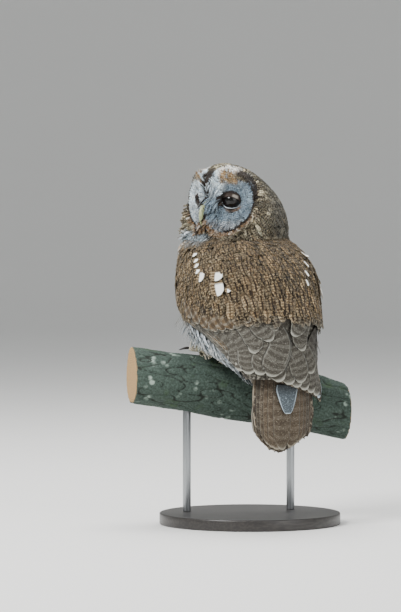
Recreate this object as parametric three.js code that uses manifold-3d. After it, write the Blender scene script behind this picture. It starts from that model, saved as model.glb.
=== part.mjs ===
// A tawny owl gripping a cut branch on a display stand, life size.
// Millimetres, +Z up. The body faces -Y, the bird's left is +X, and the head looks over its left shoulder.
// The origin is the centre of the underside of the stand's base.

import * as THREE from 'three';
import { mergeVertices } from 'three/addons/utils/BufferGeometryUtils.js';
import Module from 'manifold-3d';

const wasm = await Module();
wasm.setup();

// ---- Driving dimensions -------------------------------------------------------------------------------

const GAP = 0.35; // clearance kept between pieces that touch

const STAND = { baseRadius: 112, baseThickness: 14, baseBevel: 2 };
const ROD = { radius: 5, spacing: 132, socket: 16 };
const BRANCH = { length: 272, turn: 18, centreY: -27, knob: 1.2, dimple: 0.8 };

const NECK_FOOT = 343; // level where the trunk ends and the neck starts
const HEAD_FOOT = 355; // level where the neck ends and the head starts

const HEAD = { centreY: -39, turn: 108, eyeLevel: 400 };
const EYE = { radius: 11.5, side: 22.4, forward: 29.5 };
const DISC = { side: 27, forward: 39, turn: 26, level: 397 };
const BOWL = { out: 10, halfWidth: 36, halfHeight: 41, depth: 19 }; // the hollow of each disc
const BILL = { rootForward: 47, rootLevel: 397, length: 31, radius: 6.4, narrowness: 0.7, tipRadius: 0.9 };

const WING_DEPTH = 7; // thickness of the folded wing's layers of feathers
const WING_RISE = 1.6; // how far the wing stands proud of the body
const WING_BED = 9; // how far out the body is cleared over the wing
const WING_EDGE = 0.6; // how far the wing's thin edges sink into the body
const LAP = { turn: 22, level: 240, span: 55 }; // how the right wing laps over the middle of the back
const FOOT_SPREAD = 32; // sideways distance of each foot from the middle
const TOE = { radius: 6.2, length: 31, root: 3, arch: 0.35 };
const CLAW = { radius: 2.6, length: 17, root: 3 };
const PALM = { rise: 6, radius: 12, halfHeight: 8 };
const LEG = { hipSide: 41, hipBack: 3, hipLevel: 250, ankleRise: 11, thighRadius: 29, ankleRadius: 12.5 };
const NECK_WAIST = 0.015; // share by which the collar draws in halfway up
const TAIL = { root: 205, tip: 92, centreY: 79, thickness: 6, bow: 7, edge: 0.3, thinTip: 0.4 };

// Facets round and along each rounded piece.
const FACETS = {
  trunk: [26, 19],
  neck: [26, 4],
  head: [28, 14],
  bowl: [18, 9],
  eye: [12, 8],
  billUpper: [8, 8],
  billLower: [6, 5],
  wing: [8, 17],
  tail: [8, 10],
  branch: [20, 10],
  leg: [12, 7],
  toe: [7, 6],
  claw: [6, 5],
  palm: [10, 6],
  base: 32,
  rod: 16,
};

// Levels of the body from the neck down: height, middle in Y, half width, depth to the breast and the back.
const TRUNK_LEVELS = [
  { z: NECK_FOOT, y: -28, side: 73, front: 77, back: 72 },
  { z: 326, y: -17, side: 81, front: 85, back: 80 },
  { z: 301, y: -6, side: 87, front: 90, back: 84 },
  { z: 277, y: -2, side: 88.5, front: 90, back: 86 },
  { z: 252, y: 6, side: 86, front: 84, back: 82 },
  { z: 233, y: 14, side: 78, front: 74, back: 76 },
  { z: 215, y: 26, side: 65, front: 60, back: 64 },
  { z: 200, y: 48, side: 50, front: 36, back: 35 },
  { z: 184, y: 64, side: 41, front: 22, back: 13 },
  { z: 166, y: 70, side: 33, front: 12, back: 4 },
];

// Levels of the folded wings, which leave the body towards their tips.
const WING_LEVELS = [
  ...TRUNK_LEVELS.slice(0, 6),
  { z: 215, y: 28, side: 70, front: 60, back: 66 },
  { z: 200, y: 42, side: 64, front: 50, back: 53 },
  { z: 184, y: 52, side: 57, front: 40, back: 41 },
  { z: 165, y: 60, side: 54, front: 30, back: 30 },
  { z: 145, y: 66, side: 50, front: 24, back: 22 },
];

// Levels of the head in its own frame, facing -Y: height, forward shift, half width and half depth.
const CROWN = 447.5;
const HEAD_LEVELS = [
  { z: HEAD_FOOT, y: 0, side: 67, front: 57, back: 71 },
  { z: 366, y: -1, side: 67.5, front: 56, back: 73 },
  { z: 377, y: -2, side: 66, front: 54, back: 73 },
  { z: 388, y: -3, side: 63, front: 51.5, back: 71 },
  { z: 400, y: -4, side: 59, front: 49.5, back: 65 },
  { z: 412, y: -7, side: 53.5, front: 46, back: 57 },
  { z: 425, y: -10, side: 45.5, front: 41, back: 43 },
  { z: 435, y: -13, side: 36, front: 34, back: 29 },
  { z: 443, y: -17, side: 21, front: 21, back: 17 },
  { z: CROWN, y: -19, side: 0, front: 0, back: 0 },
];
const FACE_SQUARENESS = 2.5; // power of the superellipse of the face, where 2 is round
const NAPE_SQUARENESS = 1.9;

// ---- Small helpers ------------------------------------------------------------------------------------

const UPWARD = new THREE.Vector3(0, 0, 1);
const radians = THREE.MathUtils.degToRad;
const mix = THREE.MathUtils.lerp;
const ease = THREE.MathUtils.smoothstep;

// Smooth reading of one column of a table of levels at a given height.
function column(levels, key) {
  const points = levels.map((level) => new THREE.Vector2(level.z, level[key])).sort((a, b) => a.x - b.x);
  return (z) => {
    const last = points.length - 1;
    const at = THREE.MathUtils.clamp(z, points[0].x, points[last].x);
    const next = Math.min(last, Math.max(1, points.findIndex((point) => point.x >= at)));
    const [a, b] = [points[next - 1], points[next]];
    const before = points[Math.max(0, next - 2)];
    const after = points[Math.min(last, next + 1)];
    const width = b.x - a.x;
    const t = (at - a.x) / width;
    const slopeA = ((b.y - before.y) / (b.x - before.x)) * width;
    const slopeB = ((after.y - a.y) / (after.x - a.x)) * width;
    const rise = b.y - a.y;
    return a.y + t * (slopeA + t * (3 * rise - 2 * slopeA - slopeB + t * (slopeA + slopeB - 2 * rise)));
  };
}

// A round body described by levels: gives the point at a height and an angle round it.
// The angle is 0 on the left (+X), 90 degrees on the back (+Y) and -90 on the breast.
function roundBody(levels, frontPower = 2, backPower = 2) {
  const [middle, side, front, back] = ['y', 'side', 'front', 'back'].map((key) => column(levels, key));
  const bent = (value, power) => Math.sign(value) * Math.abs(value) ** (2 / power);
  return (z, angle, swell = 0) => {
    const [across, along] = [Math.cos(angle), Math.sin(angle)];
    const [depth, power] = along < 0 ? [front(z), frontPower] : [back(z), backPower];
    return new THREE.Vector3(
      (side(z) + swell) * bent(across, power),
      middle(z) + (depth + swell) * bent(along, power),
      z,
    );
  };
}

// Moves each vertex of a geometry to place(position), and keeps only positions, with shared vertices merged.
function shaped(geometry, place) {
  const position = geometry.getAttribute('position');
  const point = new THREE.Vector3();
  for (let i = 0; i < position.count; i += 1) {
    point.fromBufferAttribute(position, i);
    const moved = place(point.clone(), i);
    position.setXYZ(i, moved.x, moved.y, moved.z);
  }
  return bare(geometry);
}

// Leaves only positions and drops the triangles that have closed up.
function bare(geometry) {
  geometry.deleteAttribute('normal');
  geometry.deleteAttribute('uv');
  const merged = mergeVertices(geometry, 1e-3);
  const corners = Array.from(merged.index.array);
  const kept = [];
  for (let i = 0; i < corners.length; i += 3) {
    const [a, b, c] = corners.slice(i, i + 3);
    if (a !== b && b !== c && c !== a) kept.push(a, b, c);
  }
  merged.setIndex(volume(merged, kept) < 0 ? kept.reverse() : kept);
  return merged;
}

// The volume inside the triangles, which is negative while they face inwards.
function volume(geometry, corners) {
  const position = geometry.getAttribute('position');
  const [a, b, c] = [new THREE.Vector3(), new THREE.Vector3(), new THREE.Vector3()];
  let sixfold = 0;
  for (let i = 0; i < corners.length; i += 3) {
    a.fromBufferAttribute(position, corners[i]);
    b.fromBufferAttribute(position, corners[i + 1]);
    c.fromBufferAttribute(position, corners[i + 2]);
    sixfold += a.dot(b.cross(c));
  }
  return sixfold / 6;
}

// A closed ball of rings: ring(t, angle) gives the point at a share t of the way from the top pole down.
function ringed(around, rings, ring) {
  const ball = new THREE.SphereGeometry(1, around, rings);
  return shaped(ball, (point) => {
    const t = Math.acos(THREE.MathUtils.clamp(point.y, -1, 1)) / Math.PI;
    return ring(t, Math.atan2(point.z, -point.x));
  });
}

// A closed slab: face(u, v, w) gives the point at u and v across it, with w = 0 inside and 1 outside.
function slab(columns, rows, face) {
  const box = new THREE.BoxGeometry(1, 1, 1, columns, rows, 1);
  return shaped(box, (point) => face(point.x + 0.5, point.y + 0.5, point.z + 0.5));
}

// A copy grown outwards along its normals, used to cut clearance into a neighbour.
function grown(geometry, by = GAP) {
  const copy = geometry.clone();
  copy.computeVertexNormals();
  const position = copy.getAttribute('position');
  const normal = copy.getAttribute('normal');
  for (let i = 0; i < position.count; i += 1) {
    position.setXYZ(
      i,
      position.getX(i) + by * normal.getX(i),
      position.getY(i) + by * normal.getY(i),
      position.getZ(i) + by * normal.getZ(i),
    );
  }
  copy.deleteAttribute('normal');
  return copy;
}

function solid(geometry) {
  const mesh = new wasm.Mesh({
    numProp: 3,
    vertProperties: new Float32Array(geometry.getAttribute('position').array),
    triVerts: new Uint32Array(geometry.index.array),
  });
  return new wasm.Manifold(mesh);
}

function geometryOf(manifold) {
  const { vertProperties, triVerts } = manifold.getMesh();
  const geometry = new THREE.BufferGeometry();
  geometry.setAttribute('position', new THREE.BufferAttribute(new Float32Array(vertProperties), 3));
  geometry.setIndex(Array.from(triVerts));
  return geometry;
}

// The geometry left when grown copies of its neighbours are cut away.
function clearOf(geometry, ...neighbours) {
  const cut = neighbours.reduce((rest, other) => rest.subtract(solid(grown(other))), solid(geometry));
  return geometryOf(cut);
}

const joined = (...geometries) => geometryOf(geometries.map(solid).reduce((a, b) => a.add(b)));

// ---- Trunk, neck and head -----------------------------------------------------------------------------

const trunkSurface = roundBody(TRUNK_LEVELS);
const wingSurface = roundBody(WING_LEVELS);
const headSurface = roundBody(HEAD_LEVELS, FACE_SQUARENESS, NAPE_SQUARENESS);

const headPlace = new THREE.Matrix4()
  .makeTranslation(0, HEAD.centreY, 0)
  .multiply(new THREE.Matrix4().makeRotationZ(radians(HEAD.turn)));

const onHead = (x, y, z) => new THREE.Vector3(x, y, z).applyMatrix4(headPlace);

// A body whose first and last rings are flat ends at two levels.
function flatEnded(around, rings, top, bottom, surface) {
  return ringed(around, rings, (t, angle) => {
    const share = (t * rings - 1) / (rings - 2);
    const z = mix(top, bottom, THREE.MathUtils.clamp(share, 0, 1));
    const point = surface(z, angle);
    if (share >= 0 - 1e-6 && share <= 1 + 1e-6) return point;
    const middle = surface(z, 0).add(surface(z, Math.PI)).multiplyScalar(0.5);
    return middle;
  });
}

function trunkBody() {
  const bottom = TRUNK_LEVELS.at(-1).z;
  return flatEnded(...FACETS.trunk, NECK_FOOT, bottom, (z, angle) => trunkSurface(z, angle));
}

// The collar blends the top of the trunk into the foot of the turned head.
function neckBody() {
  const top = HEAD_FOOT - GAP;
  const bottom = NECK_FOOT + GAP;
  return flatEnded(...FACETS.neck, top, bottom, (z, angle) => {
    const share = (z - bottom) / (top - bottom);
    const fromTrunk = trunkSurface(NECK_FOOT, angle);
    const local = headSurface(HEAD_FOOT, angle - radians(HEAD.turn));
    const fromHead = onHead(local.x, local.y, local.z);
    const point = fromTrunk.lerp(fromHead, ease(share, 0, 1));
    const waist = 1 - NECK_WAIST * Math.sin(Math.PI * share);
    const middle = mix(TRUNK_LEVELS[0].y, HEAD.centreY, share);
    return new THREE.Vector3(point.x * waist, middle + (point.y - middle) * waist, z);
  });
}

function headBody() {
  const rings = FACETS.head[1];
  const dome = ringed(...FACETS.head, (t, angle) => {
    const share = (t * rings) / (rings - 1);
    if (share > 1 + 1e-6) return onHead(0, 0, HEAD_FOOT);
    const z = mix(CROWN, HEAD_FOOT, 1 - Math.cos((Math.min(1, share) * Math.PI) / 2));
    const local = headSurface(z, angle);
    return onHead(local.x, local.y, local.z);
  });
  const bowls = [1, -1].map((side) => solid(discBowl(side)));
  const face = bowls.reduce((rest, bowl) => rest.subtract(bowl), solid(dome));
  return geometryOf(face);
}

// The hollow of one facial disc round its eye, turned outwards with it.
function discBowl(side) {
  const turn = radians(side * DISC.turn);
  return ringed(...FACETS.bowl, (t, angle) => {
    const ring = Math.sin(Math.PI * t);
    const across = BOWL.halfWidth * ring * Math.cos(angle);
    const forward = BOWL.out + BOWL.depth * Math.cos(Math.PI * t);
    return onHead(
      side * DISC.side + across * Math.cos(turn) + forward * Math.sin(turn),
      -DISC.forward + across * Math.sin(turn) - forward * Math.cos(turn),
      DISC.level + BOWL.halfHeight * ring * Math.sin(angle),
    );
  });
}

function eyeball(side) {
  return ringed(...FACETS.eye, (t, angle) => {
    const ring = EYE.radius * Math.sin(Math.PI * t);
    return onHead(
      side * EYE.side + ring * Math.cos(angle),
      -EYE.forward - EYE.radius * Math.cos(Math.PI * t),
      HEAD.eyeLevel + ring * Math.sin(angle),
    );
  });
}

// A tapering horn along a curve: width and height give its half sizes at a share t of its length.
function horn(around, rings, curve, upward, width, height) {
  return ringed(around, rings, (t, angle) => {
    const centre = curve.getPoint(t);
    const along = curve.getTangent(t);
    const across = new THREE.Vector3().crossVectors(upward, along).normalize();
    const up = new THREE.Vector3().crossVectors(along, across).normalize();
    const round = Math.sqrt(Math.max(0, 1 - (2 * Math.max(t, 1 - t) - 1) ** 6));
    return centre
      .addScaledVector(across, round * width(t) * Math.cos(angle))
      .addScaledVector(up, round * height(t) * Math.sin(angle));
  });
}

function billUpper() {
  const { rootForward: root, rootLevel: top, length, radius, narrowness, tipRadius } = BILL;
  const curve = new THREE.CatmullRomCurve3([
    onHead(0, -root, top),
    onHead(0, -root - 8, top - 0.13 * length),
    onHead(0, -root - 13.5, top - 0.42 * length),
    onHead(0, -root - 14.5, top - 0.72 * length),
    onHead(0, -root - 12, top - length),
  ]);
  const outward = onHead(0, -1, 0).sub(onHead(0, 0, 0));
  const taper = (t) => mix(radius, tipRadius, t ** 1.2);
  return horn(...FACETS.billUpper, curve, outward, (t) => narrowness * taper(t), taper);
}

function billLower() {
  const { rootForward: root, rootLevel: top, length, radius } = BILL;
  const curve = new THREE.CatmullRomCurve3([
    onHead(0, -root, top - 0.5 * length),
    onHead(0, -root - 7, top - 0.68 * length),
    onHead(0, -root - 11.5, top - 0.8 * length),
  ]);
  const width = (t) => mix(0.6, 0.25, t) * radius;
  return horn(...FACETS.billLower, curve, UPWARD, width, () => 0.32 * radius);
}

// ---- Wings and tail -----------------------------------------------------------------------------------

// Angles round the body, in degrees, of the folded wing's leading and inner edges at each level.
const WING_EDGES = [
  { z: 340, lead: -20, inner: 50 },
  { z: 318, lead: -31, inner: 50 },
  { z: 300, lead: -37, inner: 49 },
  { z: 280, lead: -35, inner: 55 },
  { z: 266, lead: -27, inner: 76 },
  { z: 252, lead: -13, inner: 88 },
  { z: 238, lead: 6, inner: 90 },
  { z: 223, lead: 20, inner: 90 },
  { z: 201, lead: 20, inner: 90 },
  { z: 184, lead: 27, inner: 90 },
  { z: 165, lead: 24, inner: 90 },
  { z: 145, lead: 24, inner: 90 },
];
const wingLead = column(WING_EDGES, 'lead');
const wingInner = column(WING_EDGES, 'inner');
const WING_TOP = { lead: 308, arch: 29, inner: 316 }; // levels of the rounded shoulder
const TIP_FLARE = 9; // how far the longer right wing stands out sideways at its tip
const PARTING = 0.2; // half the angle left between the two wings

// How far the right wing laps over the middle of the back, in degrees, at each level.
const wingLap = (z) => LAP.turn * ease(LAP.level - z, 0, LAP.span);

// One folded wing, rising by rise over the body and sinking into it by depth.
// The tip level is that of its outermost quill, the inner level that of its last secondary.
function foldedWing(side, tipLevel, innerLevel, rise, depth) {
  return slab(...FACETS.wing, (u, v, w) => {
    const across = side > 0 ? u : 1 - u;
    const arch = WING_TOP.arch * Math.sin(Math.PI * across) ** 0.7;
    const top = mix(WING_TOP.lead, WING_TOP.inner, across) + arch;
    const z = mix(top, mix(tipLevel, innerLevel, across), 1 - v);
    const lap = (side > 0 ? -wingLap(z) : wingLap(z)) - PARTING;
    const inner = Math.min(wingInner(z), 90) + lap * ease(wingInner(z), 80, 90);
    const angle = radians(mix(wingLead(z), inner, across));
    const body = Math.sin(Math.PI * across) * Math.sin(Math.PI * v);
    const point = wingSurface(z, angle, w > 0.5 ? rise : -mix(WING_EDGE, depth, Math.sqrt(body)));
    const flare = side < 0 ? TIP_FLARE * (1 - across) * ease(200 - z, 0, 30) : 0;
    point.x = side * (point.x + flare);
    return point;
  });
}

// Half widths of the closed tail to the bird's left and right at each level.
const TAIL_LEVELS = [
  { z: TAIL.root, left: 26, right: 26 },
  { z: 175, left: 38, right: 43 },
  { z: 150, left: 41, right: 48 },
  { z: 132, left: 38, right: 48 },
  { z: 117, left: 34, right: 46 },
  { z: 109, left: 29, right: 38 },
  { z: 100, left: 22, right: 19 },
  { z: 95, left: 15, right: 9 },
  { z: TAIL.tip, left: 8, right: 3 },
];
const tailLeft = column(TAIL_LEVELS, 'left');
const tailRight = column(TAIL_LEVELS, 'right');

function tailBody() {
  return slab(...FACETS.tail, (u, v, w) => {
    const z = mix(TAIL.tip, TAIL.root, v ** 1.5);
    const x = mix(-tailRight(z), tailLeft(z), u);
    const edge = Math.abs(2 * u - 1);
    const thickness = TAIL.thickness * mix(1, TAIL.edge, edge ** 2) * mix(TAIL.thinTip, 1, ease(v, 0, 0.5));
    const y = TAIL.centreY - TAIL.bow * edge ** 2 + (w - 0.5) * thickness;
    return new THREE.Vector3(x, y, z);
  });
}

// ---- Branch, legs and feet ----------------------------------------------------------------------------

const branchTurn = radians(BRANCH.turn);
const branchAlong = new THREE.Vector3(-Math.cos(branchTurn), Math.sin(branchTurn), 0);
const branchAcross = new THREE.Vector3(Math.sin(branchTurn), Math.cos(branchTurn), 0);

// The branch's middle line drops towards the bird's right: height of its centre at a place along it.
const BRANCH_LEVELS = [
  { z: -0.5 * BRANCH.length, centre: 183, radius: 36.5 },
  { z: -44, centre: 171, radius: 38 },
  { z: 14, centre: 160.5, radius: 39.5 },
  { z: 98, centre: 146, radius: 38.5 },
  { z: 0.5 * BRANCH.length, centre: 136, radius: 37 },
];
const branchCentre = column(BRANCH_LEVELS, 'centre');
const branchRadius = column(BRANCH_LEVELS, 'radius');

// A point near the branch: place along it, angle over it from the top towards the back, height off its bark.
function byBranch(place, over, height) {
  const reach = branchRadius(place) + height;
  return new THREE.Vector3(0, BRANCH.centreY, branchCentre(place))
    .addScaledVector(branchAlong, place)
    .addScaledVector(branchAcross, reach * Math.sin(over))
    .add(new THREE.Vector3(0, 0, reach * Math.cos(over)));
}

function branchBody() {
  const log = new THREE.CylinderGeometry(1, 1, 1, ...FACETS.branch);
  return shaped(log, (point) => {
    const place = point.y * BRANCH.length;
    const over = Math.atan2(point.x, point.z);
    const off = Math.hypot(point.x, point.z) > 0.5;
    const knobs = BRANCH.knob * (Math.sin(3 * over + place / 31) - 1);
    const dimples = BRANCH.dimple * Math.sin(2 * over - place / 19);
    return byBranch(place, over, off ? knobs + dimples : -branchRadius(place));
  });
}

function legBody(side) {
  const place = (-side * FOOT_SPREAD) / Math.cos(branchTurn);
  const foot = byBranch(place, 0, LEG.ankleRise);
  const hip = new THREE.Vector3(side * LEG.hipSide, foot.y + LEG.hipBack, LEG.hipLevel);
  const curve = new THREE.LineCurve3(hip, foot);
  const stout = (t) => mix(LEG.thighRadius, LEG.ankleRadius, ease(t, 0, 1));
  return horn(...FACETS.leg, curve, new THREE.Vector3(0, 1, 0), stout, stout);
}

// The four toes of a foot: where each points along the branch and over it, as shares of its length.
const TOES = [
  { name: 'inner', along: -0.35, over: -1 },
  { name: 'middle', along: 0.2, over: -1.1 },
  { name: 'outer', along: 1, over: 0.1 },
  { name: 'hind', along: -0.15, over: 0.8 },
];

// The line of a toe over the bark, from a start to an end measured from the middle of the foot.
function toeLine(side, toe, start, end, height) {
  const middle = (-side * FOOT_SPREAD) / Math.cos(branchTurn);
  const points = [0, 0.25, 0.5, 0.75, 1].map((t) => {
    const reach = mix(start, end, t);
    const place = middle - side * toe.along * reach;
    const over = (toe.over * reach) / (branchRadius(place) + TOE.radius);
    return byBranch(place, over, height(t));
  });
  return new THREE.CatmullRomCurve3(points);
}

function toeBody(side, toe) {
  const height = (t) => TOE.radius * (0.85 + TOE.arch * Math.sin(Math.PI * t));
  const line = toeLine(side, toe, TOE.root, TOE.length, height);
  const thick = (t) => TOE.radius * mix(1.1, 0.72, t);
  return horn(...FACETS.toe, line, UPWARD, thick, thick);
}

function clawBody(side, toe) {
  const end = TOE.length + CLAW.length - CLAW.root;
  const drop = (t) => mix(TOE.radius * 0.95, 0.9, t * t);
  const line = toeLine(side, toe, TOE.length - CLAW.root, end, drop);
  const thick = (t) => CLAW.radius * mix(1, 0.22, t);
  return horn(...FACETS.claw, line, UPWARD, thick, thick);
}

function palmBody(side) {
  const centre = byBranch((-side * FOOT_SPREAD) / Math.cos(branchTurn), 0, PALM.rise);
  return ringed(...FACETS.palm, (t, angle) => {
    const ring = PALM.radius * Math.sin(Math.PI * t);
    const height = PALM.halfHeight * Math.cos(Math.PI * t);
    return new THREE.Vector3(ring * Math.cos(angle), ring * Math.sin(angle), height).add(centre);
  });
}

// ---- Stand --------------------------------------------------------------------------------------------

function standBase() {
  const { baseRadius: radius, baseThickness: top, baseBevel: bevel } = STAND;
  const outline = [
    new THREE.Vector2(0, 0),
    new THREE.Vector2(radius - bevel, 0),
    new THREE.Vector2(radius, bevel),
    new THREE.Vector2(radius, top - bevel),
    new THREE.Vector2(radius - bevel, top),
    new THREE.Vector2(0, top),
  ];
  const disc = new THREE.LatheGeometry(outline, FACETS.base);
  return shaped(disc, (point) => new THREE.Vector3(point.x, -point.z, point.y));
}

function standRod(end) {
  const place = 0.5 * end * ROD.spacing;
  const bottom = STAND.baseThickness + GAP;
  const top = branchCentre(place) - branchRadius(place) + ROD.socket;
  const foot = byBranch(place, 0, 0);
  const rod = new THREE.CylinderGeometry(ROD.radius, ROD.radius, top - bottom, FACETS.rod);
  const middle = (top + bottom) / 2;
  return shaped(rod, (point) => new THREE.Vector3(foot.x + point.x, foot.y - point.z, middle + point.y));
}

// ---- Assembly -----------------------------------------------------------------------------------------

const FINISH = {
  plumage: { color: 0x8a6a47, roughness: 0.9, metalness: 0 },
  crown: { color: 0x7d664c, roughness: 0.9, metalness: 0 },
  breast: { color: 0xa98f6e, roughness: 0.92, metalness: 0 },
  quills: { color: 0x7a6248, roughness: 0.85, metalness: 0 },
  down: { color: 0xd9cdb6, roughness: 0.95, metalness: 0 },
  eye: { color: 0x140c08, roughness: 0.06, metalness: 0 },
  bill: { color: 0xb9b27a, roughness: 0.45, metalness: 0 },
  claw: { color: 0x2b2522, roughness: 0.4, metalness: 0 },
  bark: { color: 0x5d5a4a, roughness: 0.95, metalness: 0 },
  base: { color: 0x2c2a28, roughness: 0.5, metalness: 0 },
  rod: { color: 0x8c8f92, roughness: 0.35, metalness: 1 },
};

const owl = new THREE.Group();

function add(name, finish, geometry) {
  const flat = geometry.toNonIndexed();
  flat.computeVertexNormals();
  const mesh = new THREE.Mesh(flat, new THREE.MeshStandardMaterial(FINISH[finish]));
  mesh.name = name;
  owl.add(mesh);
}

const SIDES = [['left', 1], ['right', -1]];
const TIP_LEVEL = { left: 181, right: 150 }; // of each wing's outermost quill
const INNER_LEVEL = 180; // of each wing's last secondary

const rods = [-1, 1].map(standRod);
const branch = clearOf(branchBody(), ...rods);
const eyes = SIDES.map(([, side]) => eyeball(side));
const upperBill = billUpper();
const lowerBill = clearOf(billLower(), upperBill);
const wing = (rise) =>
  SIDES.map(([name, side]) => foldedWing(side, TIP_LEVEL[name], INNER_LEVEL, rise, WING_DEPTH));
const wings = wing(WING_RISE);
const wingBeds = wing(WING_BED);
const tail = clearOf(tailBody(), ...wingBeds);

const underBelly = [branchBody()]; // what the trunk keeps clear of
SIDES.forEach(([name, side]) => {
  const claws = TOES.map((toe) => clawBody(side, toe));
  const toes = TOES.map((toe) => toeBody(side, toe));
  const foot = clearOf(joined(palmBody(side), ...toes), branchBody(), ...claws);
  const leg = clearOf(legBody(side), palmBody(side), ...toes, branchBody());
  underBelly.push(leg, palmBody(side), ...toes, ...claws);
  add(`leg_${name}`, 'down', leg);
  add(`foot_${name}`, 'down', foot);
  TOES.forEach((toe, i) => add(`claw_${name}_${toe.name}`, 'claw', clearOf(claws[i], branchBody())));
});

add('head', 'crown', clearOf(headBody(), ...eyes, upperBill, lowerBill));
add('neck', 'breast', neckBody());
add('trunk', 'breast', clearOf(trunkBody(), ...wingBeds, tailBody(), ...underBelly));
add('tail', 'quills', tail);
SIDES.forEach(([name], i) => {
  add(`wing_${name}`, 'plumage', wings[i]);
  add(`eye_${name}`, 'eye', eyes[i]);
});
add('bill_upper', 'bill', upperBill);
add('bill_lower', 'bill', lowerBill);
add('perch_branch', 'bark', branch);
add('stand_base', 'base', standBase());
rods.forEach((rod, i) => add(`stand_rod_${i + 1}`, 'rod', rod));

export default owl;
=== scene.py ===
"""A tawny owl gripping a cut branch on a display stand: one skin with a coat of separate feathers."""

import math
from dataclasses import dataclass
from functools import lru_cache, partial
from itertools import product

import bmesh
import bpy
import numpy as np
from bpy.props import FloatProperty, FloatVectorProperty, IntProperty, PointerProperty
from mathutils import Matrix, Vector, noise
from mathutils.bvhtree import BVHTree


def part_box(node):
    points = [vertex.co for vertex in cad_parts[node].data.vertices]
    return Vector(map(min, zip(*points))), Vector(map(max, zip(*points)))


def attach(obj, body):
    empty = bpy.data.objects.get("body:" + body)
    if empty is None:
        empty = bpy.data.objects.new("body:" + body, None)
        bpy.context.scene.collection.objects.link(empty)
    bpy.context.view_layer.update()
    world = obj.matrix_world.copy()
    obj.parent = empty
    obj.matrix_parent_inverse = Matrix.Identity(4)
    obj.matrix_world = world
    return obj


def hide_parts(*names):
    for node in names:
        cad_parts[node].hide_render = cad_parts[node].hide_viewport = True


bl_info = {
    "name": "Tawny owl on a branch",
    "version": (1, 0, 0),
    "blender": (4, 5, 0),
    "location": "View3D > Sidebar > Owl",
    "description": "Models a life-size tawny owl on a cut branch with a display stand",
    "category": "Mesh",
}

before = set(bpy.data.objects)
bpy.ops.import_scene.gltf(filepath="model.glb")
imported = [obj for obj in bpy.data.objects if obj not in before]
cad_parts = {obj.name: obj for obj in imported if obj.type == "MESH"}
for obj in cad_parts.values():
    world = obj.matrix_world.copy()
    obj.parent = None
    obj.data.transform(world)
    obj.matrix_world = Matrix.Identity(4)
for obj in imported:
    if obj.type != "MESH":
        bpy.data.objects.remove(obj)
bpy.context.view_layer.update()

# ---- Places taken from the frame, in metres ----

MM = 0.001
FLESH = ("head", "neck", "trunk", "tail", "wing_left", "wing_right", "leg_left", "leg_right",
         "foot_left", "foot_right")
TOES = ("inner", "middle", "outer", "hind")
SIDES = {"left": 1, "right": -1}

HEAD_TURN = math.radians(108)  # the head looks over the bird's left shoulder
HEAD_CENTRE = np.array((0.0, -39.0, 0.0)) * MM
EYE_PLACE = {"side": 22.4, "forward": 29.5, "level": 400.0}  # eye centre in the head's own frame, mm
DISC_TURN = math.radians(26)  # each facial disc is turned outwards
COLLAR = 350.0  # level of the collar between the body and the head, mm
VIEW_TURN = math.radians(150)  # compass turn of the camera round the bird
BIRD_CENTRE = Vector((0.0529, -0.0306, 0.2692))

# Middle of the body in Y at a few levels, mm.
AXIS_LEVELS = (145, 165, 184, 200, 215, 233, 252, 277, 301, 326, 343, 355)
AXIS_MIDDLES = (66, 60, 52, 42, 28, 14, 6, -2, -6, -17, -28, -39)

# Turn round the body, in degrees, of the folded wing's leading edge, where 0 is the side and 90 the back.
EDGE_LEVELS = (145, 184, 201, 223, 238, 252, 266, 280, 300, 318, 340)
EDGE_LEADS = (12, 20, 18, 20, 6, -13, -27, -35, -37, -31, -20)

# Tips of the flight feathers, from the leading edge inwards: turn round the body and level.
WING_TIPS = {
    "left": ((11, 240), (15, 236), (19, 231), (22, 225), (23, 218), (23, 211), (22, 204), (22, 197),
             (25, 190), (31, 186), (42, 185), (56, 186), (78, 188)),
    "right": ((16, 152), (19, 154), (24, 157), (34, 161), (48, 165), (66, 169), (84, 173), (104, 177),
              (117, 183)),
}
# Tips of the tertials: turn, level and the feather's width.
TERTIALS = {
    "left": ((72, 226, 27), (46, 212, 25), (57, 184, 33)),
    "right": ((70, 214, 25), (88, 232, 25), (50, 186, 26), (66, 176, 28)),
}
# Turn of a long feather's tip and of its root.
ROOT_OF_TIP = ((11, 24, 40, 60, 80, 117), (-20, 6, 52, 72, 80, 95))
GREATER_TIPS = ((8, 16, 26, 46, 56, 66, 86), (256, 246, 240, 243, 250, 255, 259))  # turn and level
QUILL_LENGTH, TERTIAL_LENGTH, GREATER_LENGTH = 88, 72, 36  # from tip to root, mm
SHOULDER = 296  # highest level of a flight feather's root, mm

# Level that the scattered coverts reach down to, by the turn round the body.
QUILL_TURNS = (0, 10, 26, 46, 60, 90)
QUILL_LEVELS = (268, 264, 254, 258, 268, 272)

TAIL_MIDDLE, TAIL_HALF = -3.5, 27  # middle of the tail in X, and how far its outer quills lie from it, mm
LEG_TOP = 226  # level where the body's feathers end and the down of the legs begins, mm
FEET = ((36, -41, 223), (-39, -21, 211))  # middle of each foot in X and Y, and the level of its top

# White spots of the scapulars: wing, turn, level of the spot's middle, its length and its width in mm.
SCAPULAR_SPOTS = (
    ("left", 14, 332, 5, 5), ("left", 15, 325, 5, 5), ("left", 16, 319, 6, 5), ("left", 17, 312, 6, 5),
    ("left", 20.5, 305, 12, 7), ("left", 35.5, 306, 11, 11), ("left", 35, 290, 15, 12),
    ("left", 43, 290, 5, 5),
    ("right", 42, 331, 8, 4), ("right", 54, 320, 8, 4), ("right", 60, 309, 8, 4), ("right", 63, 298, 8, 4),
    ("right", 47, 268, 12, 7), ("right", 20, 318, 8, 7), ("right", 24, 300, 12, 9),
    ("right", 30, 284, 13, 10),
)

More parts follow.
